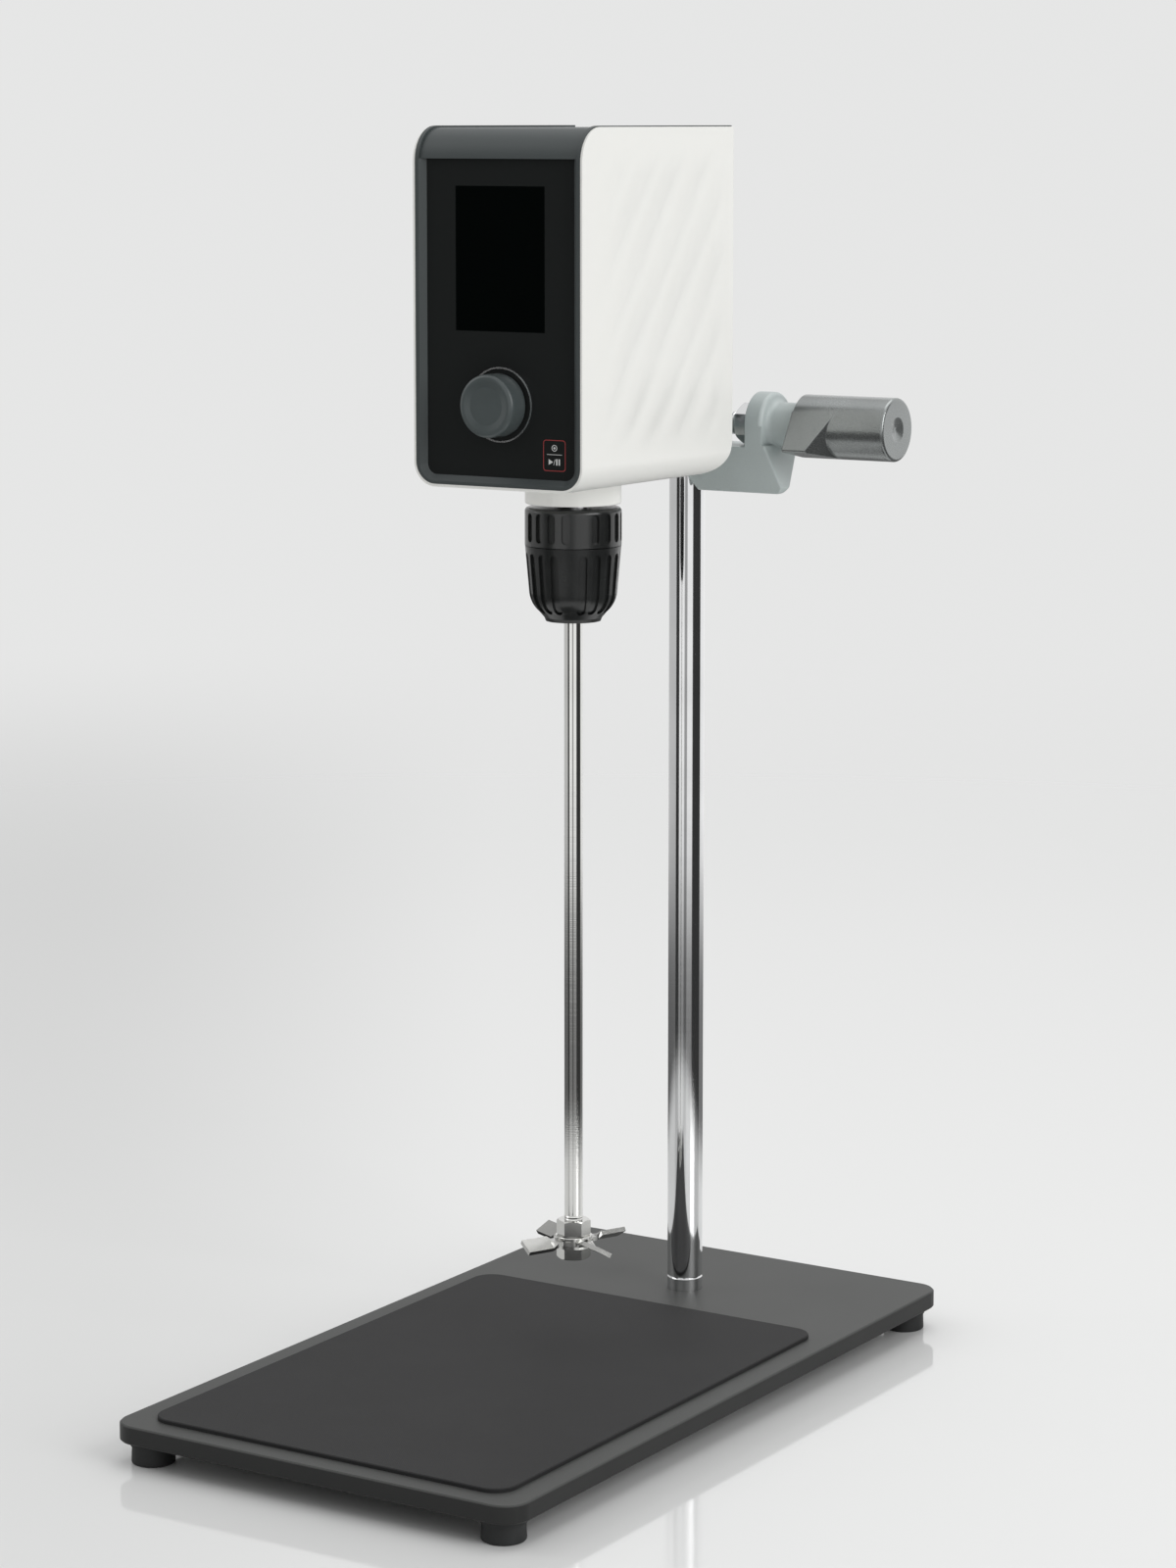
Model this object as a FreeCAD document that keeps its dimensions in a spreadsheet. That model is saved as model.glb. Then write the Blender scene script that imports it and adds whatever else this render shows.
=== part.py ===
import FreeCAD, Part
import math
import os
import re
import Sketcher

# An overhead stirrer: a plate stand with a two-piece column, a clamp that
# carries the drive head, a keyless chuck, a stirring shaft and a propeller.
# Millimetres, floor at z = 0, head facing -Y, clamp handle toward +X.

os.makedirs("parts", exist_ok=True)
doc = FreeCAD.newDocument("overhead_stirrer")
sheet = doc.addObject("Spreadsheet::Sheet", "dims")
pieces = []

sizes = {
    # stand
    "run_past": 5,  # how far cutters run past what they cut
    "foot_high": 10,  # floor to the plate's underside
    "foot_r": 9.15,  # rounded bottom edge of a foot
    "foot_waist_r": 8.9,  # foot just under its collar
    "foot_collar_r": 9.5,
    "foot_collar_high": 2.5,
    "foot_edge_r": 0.9,
    "foot_hollow_r": 4,
    "foot_hollow_deep": 2,
    "foot_inset": 13,  # foot centre in from the plate's edges
    "stud_r": 2.5,  # moulded-in stud of a foot
    "stud_long": 5,
    "stud_gap": 0.05,
    "plate_wide": 200,
    "plate_deep": 360,
    "plate_thick": 8,
    "plate_round": 11,
    "plate_break": 0.7,
    "mat_side_in": 12,
    "mat_rear_in": 97.3,
    "mat_thick": 1.8,
    "mat_round": 10,
    "mat_front_in": 10.7,  # mat in from the plate's front edge
    "mat_break": 0.4,
    "column_in": 64,  # column axis in from the plate's rear edge
    "column_r": 8,
    "column_lower_long": 300,
    "column_upper_long": 200,
    "column_sunk": 5,
    "column_seat_gap": 0.05,
    "column_break": 0.6,
    "column_top_break": 1.2,
    "line_high": 11,  # turned line above the column's lower end
    "line_half": 0.45,
    "line_deep": 0.4,
    "thread_r": 4,  # threaded ends of the column
    "thread_gap": 0.08,
    "tapped_deep": 18,
    "joint_stud_long": 30,
    "joint_stud_break": 0.8,
    "cap_head_r": 6.5,
    "cap_head_high": 4,
    "cap_hex_r": 2.9,
    "cap_hex_deep": 2.4,
    "cap_shank_long": 18,
    "cap_hole_gap": 0.3,
    # clamp
    "clamp_high": 400,  # handle axis above the plate
    "sleeve_gap": 0.03,  # sliding fit on the column
    "sleeve_wall": 1.5,
    "sleeve_collar_r": 11,
    "sleeve_collar_high": 1.5,
    "sleeve_collar_gap": 0.1,
    "sleeve_collar_side": 0.3,
    "sleeve_end_in": 0.2,
    "sleeve_slit": 1.2,
    "hub_r": 15,
    "hub_up": 14,
    "hub_down": 20,
    "hub_gap": 0.05,
    "cast_half": 14.5,  # half thickness of the casting, also boss radius
    "arm_slope_x": 5.8,
    "arm_left_x": 14.5,
    "arm_floor": 29.5,  # arm underside below the handle axis
    "arm_right_x": 57,
    "arm_right_r": 3,
    "arm_edge_r": 1,
    "arm_shoulder_x": 48,
    "arm_toe": 3,
    "arm_clear": 2,  # how far cutters run past the casting
    "arm_shoulder_down": 8.6,
    "throat_down": 9.5,
    "boss_x": 38,
    "boss_end_x": 46.5,
    "boss_edge_r": 2,
    "boss_cove_r": 2.5,
    "neck_r": 10,
    "neck_end_x": 60,
    "screw_r": 5,
    "screw_gap": 0.4,
    "flange_half": 30,
    "flange_thick": 5,
    "flange_low": -3,  # flange bottom above the handle axis
    "flange_high": 47,
    "flange_round": 6,
    "arch_half_back": 18,
    "arch_half_hub": 12.5,
    "arch_low_back": -1,
    "arch_high_back": 34,
    "arch_low_hub": -14,
    "arch_high_hub": 12,
    "arch_sink": 8,  # web of the casting run into the hub
    "arch_lap": 1,  # and into the flange
    "bolt_x": 24,
    "bolt_low": 3,
    "bolt_high": 41,
    "bolt_r": 2.5,
    "bolt_gap": 0.2,
    "bolt_head_r": 4.25,
    "bolt_head_high": 5,
    "bolt_long": 12.5,
    "bolt_hex_r": 2.3,
    "bolt_hex_deep": 2.5,
    "nut_flats": 16,
    "nut_x": 29,
    "nut_sunk": 1,
    "nut_gap": 0.1,
    "nut_bevel": 1.1,
    "bevel_past": 0.01,  # bevels run past the corners they meet
    "nut_bore_gap": 0.3,
    "shoe_x": 14,
    "shoe_gap": 0.3,  # shoe to sleeve with the clamp shut
    "shoe_r": 5,
    "nose_r": 3,
    "nose_gap": 0.3,
    "nose_long": 2,
    "nose_play": 0.3,
    "grip_x": 60.7,
    "grip_end_x": 106.5,
    "grip_r": 14,
    "grip_break": 1.3,
    "grip_foot_break": 0.65,
    "grip_dimple_r": 5.5,
    "grip_dimple_deep": 1.4,
    "grip_turn": 114.5,  # rest angle of the wings
    "wing_half_angle": 54.5,
    "wing_tip_x": 71.7,
    "wing_foot_x": 82,
    "wing_root": 4,  # wings run on past the foot of their slant
    "grip_bore_gap": 0.05,
    "screw_end_x": 84,
    "grip_bore_x": 84.5,
    # drive head, measured from the middle of its lower front edge
    "head_drop": 19.5,  # underside below the handle axis
    "head_half": 42,
    "head_deep": 122.5,
    "side_high": 150.6,  # white sides
    "cover_high": 151.1,  # dark cover
    "wall": 2.5,
    "low_edge_r": 10.5,
    "rear_r": 16,
    "front_r": 14.5,
    "head_reach": 95.4,  # spindle axis in front of the column
    "spindle_back": 59.1,  # spindle axis behind the head's front
    "cover_half": 41,
    "cover_foot": 1.2,
    "cover_top_wall": 2.9,
    "cover_front_wall": 5.5,
    "cover_corner_r": 9.4,
    "cover_seam": 0.05,
    "rail_in": 39.2,
    "rail_high": 0.8,
    "glass_half": 36.7,
    "glass_low": 5.1,
    "glass_top": 137.5,
    "glass_corner_r": 4.5,
    "glass_sunk": 2.5,
    "glass_lap": 1.1,
    "glass_gap": 0.1,
    "glass_thick": 2,
    "knob_high": 35.5,
    "knob_r": 13.25,
    "knob_out": 11.5,  # knob face in front of the glass
    "knob_lift": 0.9,  # gap under the knob
    "knob_edge_r": 1.8,
    "knob_back_edge_r": 0.6,
    "knob_dish": 0.5,
    "knob_dish_out_r": 10.6,
    "knob_dish_in_r": 7.95,
    "knob_back_r": 8,
    "knob_back_deep": 3.6,
    "knob_stem_r": 3,
    "knob_stem_gap": 0.05,
    "knob_web": 2.5,
    "ring_in": 15.1,
    "ring_out": 15.8,
    "ring_gap": 0.05,
    "ring_sunk": 0.6,
    "ring_proud": 0.3,
    "bush_r": 4.5,
    "bush_gap": 0.4,
    "bush_out": 1.3,
    "bush_bore_gap": 0.35,
    "encoder_half": 7,
    "encoder_front_y": 4.6,
    "board_y": 11,
    "plunger_room_r": 5,
    "plunger_room_y": 6.2,
    "plunger_room_end": 10.2,
    "plunger_r": 4.6,
    "plunger_y": 6.9,
    "plunger_end_y": 9.4,
    "stem_nose_r": 2,
    "stem_nose_gap": 0.3,
    "stem_shoulder_y": 6.6,
    "stem_nose_y": 8.2,
    "plunger_pit_y": 8.5,
    "display_half": 24.5,
    "display_low": 63,
    "display_top": 130,
    "display_back": 9,
    "display_post_r": 2.5,
    "display_post_in": 4,
    "screen_half": 22,
    "screen_low": 66.1,
    "screen_top": 126.1,
    "screen_deep": 0.6,
    "board_half": 33,
    "board_low": 14,
    "board_top": 134,
    "board_thick": 1.6,
    "board_hole_r": 1.3,
    "chip_half": 9,
    "chip_low": 84,
    "chip_top": 102,
    "chip_thick": 2,
    "plug_half": 14,
    "plug_low": 112,
    "plug_top": 118,
    "plug_thick": 5,
    "base_front_y": 30,
    "base_half": 30,
    "base_low": 2.6,
    "base_thick": 5,
    "frame_back_y": 119.4,
    "frame_thick": 6,
    "frame_high": 68,
    "frame_corner_r": 13.4,
    "gusset_half": 2,
    "gusset_x": 27,
    "gusset_front_y": 92,
    "gusset_high": 46,
    "gusset_lap": 1,  # gusset run into the plates it joins
    "gusset_tip": 2,
    "frame_hole_gap": 0.05,
    "seat_boss_r": 21,
    "seat_boss_top": 14,
    "race_low_r": 16,
    "race_low_bore": 7.55,
    "race_low_wide": 9,
    "race_low_z": 4.6,
    "race_gap": 0.04,
    "race_pass_r": 9.5,
    "race_dish": 0.6,
    "race_lip": 2.2,
    "race_break": 0.5,
    "can_r": 30.5,
    "can_wall": 2.5,
    "can_high": 66,
    "can_lid": 4,
    "can_break": 2,
    "can_boss_r": 18,
    "can_boss_top": 74,
    "race_top_r": 14,
    "race_top_bore": 6.05,
    "race_top_wide": 8,
    "can_pass_r": 9,
    "post_r": 3,
    "post_at": 24,
    "post_top": 80,
    "core_gap": 0.05,
    "core_in": 20.2,
    "core_low": 14,
    "core_high": 54,
    "slot_wide": 4,
    "slot_out": 26,
    "rotor_r": 19.5,
    "rotor_low": 12,
    "rotor_high": 56,
    "rotor_gap": 0.03,
    "drive_y_low": 26,
    "drive_y_high": 94,
    "drive_half": 30,
    "cell_r": 6,
    "cell_high": 20,
    "cell_x": 20,
    "cell_y": 22,
    "sink_half": 12,
    "sink_front": -16,
    "sink_back": 16,
    "sink_high": 14,
    "sink_fin": 1.6,
    "sink_pitch": 5.4,
    "sink_floor": 3,
    "collar_r": 20.8,
    "collar_high": 10.1,
    "collar_edge_r": 0.8,
    "collar_bore": 9.5,
    "collar_seal_r": 13,
    "collar_seal_deep": 4,
    "collar_spigot_r": 11.9,
    "collar_spigot_gap": 0.1,
    "panel_half": 39.4,
    "panel_low": 16.1,
    "panel_top": 148.1,
    "panel_thick": 3,
    "panel_screw_x": 35.4,
    "panel_screw_low": 21.5,
    "panel_screw_top": 143,
    "panel_screw_r": 1.5,
    "panel_screw_gap": 0.2,
    "panel_screw_head_r": 2.9,
    "panel_screw_long": 9,
    "panel_screw_room": 1,  # hole below the screw's end
    "panel_screw_slot": 0.8,
    "panel_slot_half": 1.8,
    "lug_r": 5,
    "lug_long": 12,
    "vent_half": 14,
    "vent_high": 2.2,
    "vent_end_r": 0.99,
    "vent_low": 118,
    "vent_span": 22,
    "inlet_x": -17,
    "inlet_z": 98,
    "inlet_half": 13.5,
    "inlet_half_high": 9.9,
    "inlet_flange_half": 15.5,
    "inlet_flange_high": 12,
    "inlet_flange_thick": 2,
    "inlet_deep": 20,
    "inlet_gap": 0.15,
    "inlet_round": 2,
    "inlet_cup_half": 12,
    "inlet_cup_high": 7.8,
    "inlet_cup_bevel": 4,
    "inlet_cup_deep": 15,
    "pin_half": 1,
    "pin_tall": 2,
    "pin_pitch": 7,
    "pin_drop": 1.8,
    "pin_out": 11,
    "pin_root": 1,
    "switch_x": 19,
    "switch_half": 6.8,
    "switch_half_high": 9.8,
    "switch_flange_half": 8,
    "switch_flange_high": 11.2,
    "switch_flange_thick": 1.5,
    "switch_deep": 15,
    "rocker_room_half": 5.6,
    "rocker_room_high": 8.8,
    "rocker_room_deep": 6,
    "rocker_gap": 0.3,
    "rocker_tilt": 8,
    "rocker_reach": 7.9,
    "rocker_crown": 2.2,
    "rocker_valley": 0.9,
    "rocker_belly": 3.6,
    "rocker_flank": 2,
    # spindle and chuck
    "spindle_thread_r": 6,
    "spindle_thread_low": -24,
    "spindle_show_low": -13,
    "spindle_r": 7.95,
    "spindle_show_top": 4.5,
    "spindle_mid_r": 7.5,
    "spindle_mid_top": 18,
    "spindle_core_r": 7,
    "spindle_core_top": 84,
    "spindle_top_r": 6,
    "flat_deep": 0.8,
    "chuck_drop": 28.1,  # seam between the two sleeves below the head
    "chuck_up": 16.5,
    "chuck_r": 20.9,
    "chuck_edge_r": 1.8,
    "chuck_seam_half": 0.2,
    "chuck_mouth_r": 8.6,
    "core_up": 14,
    "core_r": 15.5,
    "core_fit_gap": 0.06,
    "core_sleeve_gap": 0.4,
    "core_straight": 14,
    "core_nose_r": 9.2,
    "core_nose": 32.4,
    "core_bore_r": 5.2,
    "core_thread_gap": 0.06,
    "core_thread_low": 4,
    "chuck_down": 32.8,
    "hem_in_r": 10.4,
    "hem_r": 20.8,
    "hem_bend_r": 19,
    "hem_bend_down": 20.6,
    "hem_curve_r": 13,
    "hem_cone_r": 14.7,
    "hem_cone_down": 28.7,
    "hem_low_r": 12.5,
    "hem_low_down": 31.3,
    "hem_break": 0.6,
    "flute_half": 1.85,
    "flute_floor_r": 19.6,
    "flute_low": 2,
    "flute_high": 14.5,
    "flute_step": 54,  # four flutes 18 degrees apart
    "flute_turn_up": 59.5,
    "flute_deep": 1.25,
    "flute_end_r": 1.75,
    "flute_start_r": 22,
    "hem_mouth_down": 31.3,
    "hem_flute_top": 3,
    "hem_flute_low": 29,
    "flute_turn_low": 44.5,
    "jaw_r": 2.9,
    "jaw_long": 21.6,
    "jaw_lean": 15,
    "jaw_foot_r": 4.3,  # jaw axis from the spindle axis at its lower end
    "jaw_foot_down": 32.9,
    "jaw_turn": 20,
    "jaw_bore_gap": 0.3,
    "jaw_bore_long": 27,
    "jaw_bore_past": 3,  # cutters run past the jaw's lower end
    "jaw_grip_gap": 0.02,
    "jaw_break": 0.5,
    # stirring shaft and agitator
    "rod_r": 4,
    "rod_long": 315.3,  # its top ends level with the chuck's seam
    "rod_break": 0.6,
    "small_flats": 13,
    "small_bevel": 0.9,
    "small_gap": 0.06,
    "low_nut_rise": 0.2,  # nut above the shaft's end
    "low_nut_high": 5.2,
    "washer_r": 8.2,
    "washer_thick": 1.5,
    "washer_break": 0.25,
    "blade_thick": 2,
    "top_nut_high": 6.9,
    "blade_r": 25,
    "blade_half": 3.85,
    "blade_flat_r": 9.5,
    "blade_bend_r": 12.5,
    "blade_pitch": 30,
    "blade_turn": 65,
    "blade_hub_r": 8.6,
}
for row, (name, amount) in enumerate(sizes.items(), 1):
    sheet.set("A" + str(row), name)
    sheet.set("B" + str(row), str(amount))
    sheet.setAlias("B" + str(row), name)
doc.recompute()

# Places that follow from the sizes.
places = {
    "plate_top": "foot_high+plate_thick",
    "column_y": "plate_deep/2-column_in",
    "mat_wide": "plate_wide-mat_side_in*2",
    "mat_deep": "plate_deep-mat_front_in-mat_rear_in",
    "mat_y": "mat_front_in+(mat_deep-plate_deep)/2",
    "handle_z": "plate_top+clamp_high",
    "spindle_y": "column_y-head_reach",
    "head_front": "spindle_y-spindle_back",
    "head_low": "handle_z-head_drop",
    "chuck_z": "head_low-chuck_drop",
    "rod_low": "chuck_z-rod_long",
    "low_nut_z": "rod_low+low_nut_rise",
}
size_word = re.compile(r"[a-z]+(?:_[a-z0-9]+)+|\bwall\b")


def named(word):
    return "(" + fx(places[word]) + ")" if word in places else "dims." + word


def fx(text):
    return size_word.sub(lambda found: named(found.group(0)), str(text))


def value(text):
    return float(sheet.evalExpression(fx(text)))


# ---- drawing helpers: a point is (x, y) or (x, y, radius, turn) for an arc ----
def sketch(body, plane, lift, loops):
    draft = body.newObject("Sketcher::SketchObject", body.Label + "_sketch")
    wanted = plane + "_Plane"
    base = [item for item in body.Origin.OriginFeatures if item.Role == wanted][0]
    draft.AttachmentSupport = [(base, "")]
    draft.MapMode = "FlatFace"
    draft.setExpression("AttachmentOffset.Base.z", fx(lift))
    for loop in loops:
        if loop[0] == "ring":
            ring(draft, loop[1], loop[2], loop[3])
        else:
            trace(draft, loop)
    return draft


def bind(draft, rules, words):
    numbers = draft.addConstraint(rules)
    for number, text in zip(numbers, words):
        if text:
            draft.setExpression("Constraints[" + str(number) + "]", fx(text))


def ring(draft, x, y, r):
    spot = FreeCAD.Vector(value(x), value(y), 0)
    edge = draft.addGeometry(Part.Circle(spot, FreeCAD.Vector(0, 0, 1), value(r)), False)
    rules = [Sketcher.Constraint("DistanceX", -1, 1, edge, 3, spot.x)]
    rules.append(Sketcher.Constraint("DistanceY", -1, 1, edge, 3, spot.y))
    rules.append(Sketcher.Constraint("Radius", edge, value(r)))
    bind(draft, rules, [x, y, r])


def trace(draft, points):
    spots = [FreeCAD.Vector(value(point[0]), value(point[1]), 0) for point in points]
    up = FreeCAD.Vector(0, 0, 1)
    ends = []
    rules = []
    words = []
    for index, point in enumerate(points):
        start = spots[index - 1]
        finish = spots[index]
        if len(point) == 2:
            edge = draft.addGeometry(Part.LineSegment(start, finish), False)
            ends.append((edge, 1, 2))
            continue
        r = value(point[2])
        chord = finish - start
        rise = math.sqrt(max(r * r - chord.Length * chord.Length / 4, 0))
        left = up.cross(chord).normalize()
        middle = (start + finish) * 0.5 + left * (rise * point[3])
        first = math.atan2(start.y - middle.y, start.x - middle.x)
        last = math.atan2(finish.y - middle.y, finish.x - middle.x)
        circle = Part.Circle(middle, up, r)
        if point[3] > 0:
            edge = draft.addGeometry(Part.ArcOfCircle(circle, first, last), False)
            ends.append((edge, 1, 2))
        else:
            edge = draft.addGeometry(Part.ArcOfCircle(circle, last, first), False)
            ends.append((edge, 2, 1))
        rules.append(Sketcher.Constraint("Radius", edge, r))
        words.append(point[2])
    for index, point in enumerate(points):
        last_end = ends[index - 1]
        this_end = ends[index]
        rules.append(Sketcher.Constraint("Coincident", last_end[0], last_end[2], this_end[0], this_end[1]))
        words.append("")
        rules.append(Sketcher.Constraint("DistanceX", -1, 1, this_end[0], this_end[2], spots[index].x))
        words.append(point[0])
        rules.append(Sketcher.Constraint("DistanceY", -1, 1, this_end[0], this_end[2], spots[index].y))
        words.append(point[1])
    bind(draft, rules, words)


def minus(text):
    return "-(" + str(text) + ")"


def box(x0, y0, x1, y1):
    return [(x0, y0), (x1, y0), (x1, y1), (x0, y1)]


def even(half_x, half_y):
    return box(minus(half_x), minus(half_y), half_x, half_y)


def rounded(x0, y0, x1, y1, r):
    left = x0 + "+" + r
    right = x1 + "-" + r
    low = y0 + "+" + r
    high = y1 + "-" + r
    return [(left, y0), (right, y0), (x1, low, r, 1), (x1, high), (right, y1, r, 1),
            (left, y1), (x0, high, r, 1), (x0, low), (left, y0, r, 1)][1:]


def hexagon(flats):
    side = "(" + flats + ")/sqrt(3)/2"
    half = "(" + flats + ")/2"
    tip = "(" + flats + ")/sqrt(3)"
    return [("0", minus(tip)), (half, minus(side)), (half, side), ("0", tip),
            (minus(half), side), (minus(half), minus(side))]


# ---- feature helpers ----
def piece(label, x="0", y="0", z="0"):
    body = doc.addObject("PartDesign::Body", label)
    body.Label = label
    body.setExpression("Placement.Base.x", fx(x))
    body.setExpression("Placement.Base.y", fx(y))
    body.setExpression("Placement.Base.z", fx(z))
    pieces.append(body)
    return body


def feature(body, kind, draft):
    made = body.newObject("PartDesign::" + kind, body.Label + "_" + kind.lower())
    made.Profile = draft
    return made


def extrude(body, kind, plane, lift, loops, length, back=False, both=False):
    made = feature(body, kind, sketch(body, plane, lift, loops))
    made.setExpression("Length", fx(length))
    made.Reversed = back
    if both:
        made.SideType = "Symmetric"
    body.Tip = made
    return made


def turned(body, kind, plane, axis, points):
    draft = sketch(body, plane, "0", [points])
    made = feature(body, kind, draft)
    made.ReferenceAxis = (draft, [axis])
    made.Angle = 360
    body.Tip = made
    return made


def soften(body, kind, amount, test):
    doc.recompute()
    base = body.Tip
    found = enumerate(base.Shape.Edges)
    names = ["Edge" + str(number + 1) for number, edge in found if test(edge.BoundBox)]
    made = body.newObject("PartDesign::" + kind, body.Label + "_" + kind.lower())
    made.Base = (base, names)
    made.setExpression("Radius" if kind == "Fillet" else "Size", fx(amount))
    body.Tip = made
    return made


def origin_axis(body, role):
    return [item for item in body.Origin.OriginFeatures if item.Role == role][0]


def repeat(body, kind, originals, settings):
    made = body.newObject("PartDesign::" + kind, body.Label + "_" + kind.lower())
    made.Originals = originals
    for name, item in settings.items():
        setattr(made, name, item)
    body.Tip = made
    return made


def near(number, text):
    return abs(number - value(text)) < 0.02


def flat_at(box_now, axis, text):
    low = getattr(box_now, axis + "Min")
    high = getattr(box_now, axis + "Max")
    return near(low, text) and near(high, text)


# ======================= stand =======================
plate = piece("base_plate", z="foot_high")
half_wide = "plate_wide/2"
half_deep = "plate_deep/2"
outline = rounded("-plate_wide/2", "-plate_deep/2", half_wide, half_deep, "plate_round")
extrude(plate, "Pad", "XY", "0", [outline], "plate_thick")
soften(plate, "Chamfer", "plate_break", lambda b: flat_at(b, "Z", "plate_thick") or flat_at(b, "Z", "0"))
socket = [("ring", "0", "column_y", "column_r+column_seat_gap")]
extrude(plate, "Pocket", "XY", "plate_thick", socket, "column_sunk")
through = [("ring", "0", "column_y", "thread_r+cap_hole_gap")]
extrude(plate, "Pocket", "XY", "plate_thick", through, "plate_thick")
foot_x = "plate_wide/2-foot_inset"
foot_y = "plate_deep/2-foot_inset"
foot_spots = {"front_left": (minus(foot_x), minus(foot_y)), "front_right": (foot_x, minus(foot_y)),
              "rear_left": (minus(foot_x), foot_y), "rear_right": (foot_x, foot_y)}
stud_holes = [("ring", spot[0], spot[1], "stud_r+stud_gap") for spot in foot_spots.values()]
extrude(plate, "Pocket", "XY", "0", stud_holes, "stud_long+stud_gap", back=True)

for where, spot in foot_spots.items():
    foot = piece("foot_" + where, spot[0], spot[1])
    turned(foot, "Revolution", "XZ", "V_Axis", [
        ("foot_hollow_r", "0"), ("foot_r-foot_edge_r", "0"), ("foot_r", "foot_edge_r", "foot_edge_r", 1),
        ("foot_waist_r", "foot_high-foot_collar_high"), ("foot_collar_r", "foot_high-foot_collar_high"),
        ("foot_collar_r", "foot_high"), ("stud_r", "foot_high"), ("stud_r", "foot_high+stud_long"),
        ("0", "foot_high+stud_long"), ("0", "foot_hollow_deep"), ("foot_hollow_r", "foot_hollow_deep")])

plate_top = "foot_high+plate_thick"
mat = piece("rubber_mat", y="mat_y", z=plate_top)
outline = rounded("-mat_wide/2", "-mat_deep/2", "mat_wide/2", "mat_deep/2", "mat_round")
extrude(mat, "Pad", "XY", "0", [outline], "mat_thick")
soften(mat, "Chamfer", "mat_break", lambda b: flat_at(b, "Z", "mat_thick"))

tap_r = "thread_r+thread_gap"
lower_z = "foot_high+plate_thick-column_sunk"
column = piece("column_lower", y="column_y", z=lower_z)
turned(column, "Revolution", "XZ", "V_Axis", [
    (tap_r, "0"), ("column_r-column_break", "0"), ("column_r", "column_break"),
    ("column_r", "line_high-line_half"), ("column_r-line_deep", "line_high"),
    ("column_r", "line_high+line_half"), ("column_r", "column_lower_long"), (tap_r, "column_lower_long"),
    (tap_r, "column_lower_long-tapped_deep"), ("0", "column_lower_long-tapped_deep"),
    ("0", "tapped_deep"), (tap_r, "tapped_deep")])
column = piece("column_upper", y="column_y", z=lower_z + "+column_lower_long")
turned(column, "Revolution", "XZ", "V_Axis", [
    (tap_r, "0"), ("column_r", "0"), ("column_r", "column_upper_long-column_top_break"),
    ("column_r-column_top_break", "column_upper_long"), ("0", "column_upper_long"),
    ("0", "tapped_deep"), (tap_r, "tapped_deep")])
stud = piece("column_stud", y="column_y", z=lower_z + "+column_lower_long-joint_stud_long/2")
extrude(stud, "Pad", "XY", "0", [("ring", "0", "0", "thread_r")], "joint_stud_long")
soften(stud, "Chamfer", "joint_stud_break", lambda b: (
    flat_at(b, "Z", "0") or flat_at(b, "Z", "joint_stud_long")))
cap = piece("column_screw", y="column_y", z="foot_high")
extrude(cap, "Pad", "XY", "-cap_head_high", [("ring", "0", "0", "cap_head_r")], "cap_head_high")
soften(cap, "Chamfer", "plate_break", lambda b: flat_at(b, "Z", "-cap_head_high"))
extrude(cap, "Pad", "XY", "0", [("ring", "0", "0", "thread_r")], "cap_shank_long")
extrude(cap, "Pocket", "XY", "-cap_head_high", [hexagon("cap_hex_r*2")], "cap_hex_deep", back=True)

# ======================= clamp =======================
bore_r = "column_r+sleeve_gap"
sleeve_r = "column_r+sleeve_gap+sleeve_wall"
sleeve_top = "hub_up-sleeve_end_in"
sleeve_low = "-hub_down+sleeve_end_in"
sleeve = piece("clamp_sleeve", y="column_y", z="handle_z")
turned(sleeve, "Revolution", "XZ", "V_Axis", [
    (bore_r, sleeve_low), ("sleeve_collar_r", sleeve_low),
    ("sleeve_collar_r", sleeve_low + "+sleeve_collar_high"), (sleeve_r, sleeve_low + "+sleeve_collar_high"),
    (sleeve_r, sleeve_top + "-sleeve_collar_high"),
    ("sleeve_collar_r", sleeve_top + "-sleeve_collar_high"), ("sleeve_collar_r", sleeve_top),
    (bore_r, sleeve_top)])
slit = box("-sleeve_collar_r-run_past", "-sleeve_slit/2", "0", "sleeve_slit/2")
extrude(sleeve, "Pocket", "XY", "0", [slit], "(hub_up+hub_down)*2", both=True)

hub_bore = "column_r+sleeve_gap+sleeve_wall+hub_gap"
flange_face = minus("column_y-head_front-head_deep")
clamp = piece("clamp_body", y="column_y", z="handle_z")
extrude(clamp, "Pad", "XY", "-hub_down", [("ring", "0", "0", "hub_r")], "hub_down+hub_up")
extrude(clamp, "Pad", "XZ", "0", [[
    ("0", "-throat_down"), ("0", "-hub_down"), ("arm_slope_x", "-hub_down"), ("arm_left_x", "-arm_floor"),
    ("arm_right_x-arm_right_r", "-arm_floor"), ("arm_right_x", "-arm_floor+arm_right_r", "arm_right_r", 1),
    ("arm_shoulder_x", "-arm_shoulder_down"), ("boss_x", "-arm_shoulder_down"),
    ("boss_x", "-throat_down")]], "cast_half*2", both=True)
soften(clamp, "Fillet", "arm_edge_r", lambda b: (
    b.XMin > value("arm_left_x") - 0.1 and b.YLength < 0.01 and b.ZMax < value("-arm_shoulder_down") + 0.1
    and abs(abs(b.YMax) - value("cast_half")) < 0.01 and b.ZMin < value("-throat_down")))
extrude(clamp, "Pad", "YZ", "boss_x", [box("-cast_half", "-arm_floor/2", "cast_half", "0")],
        "boss_end_x-boss_x")
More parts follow.
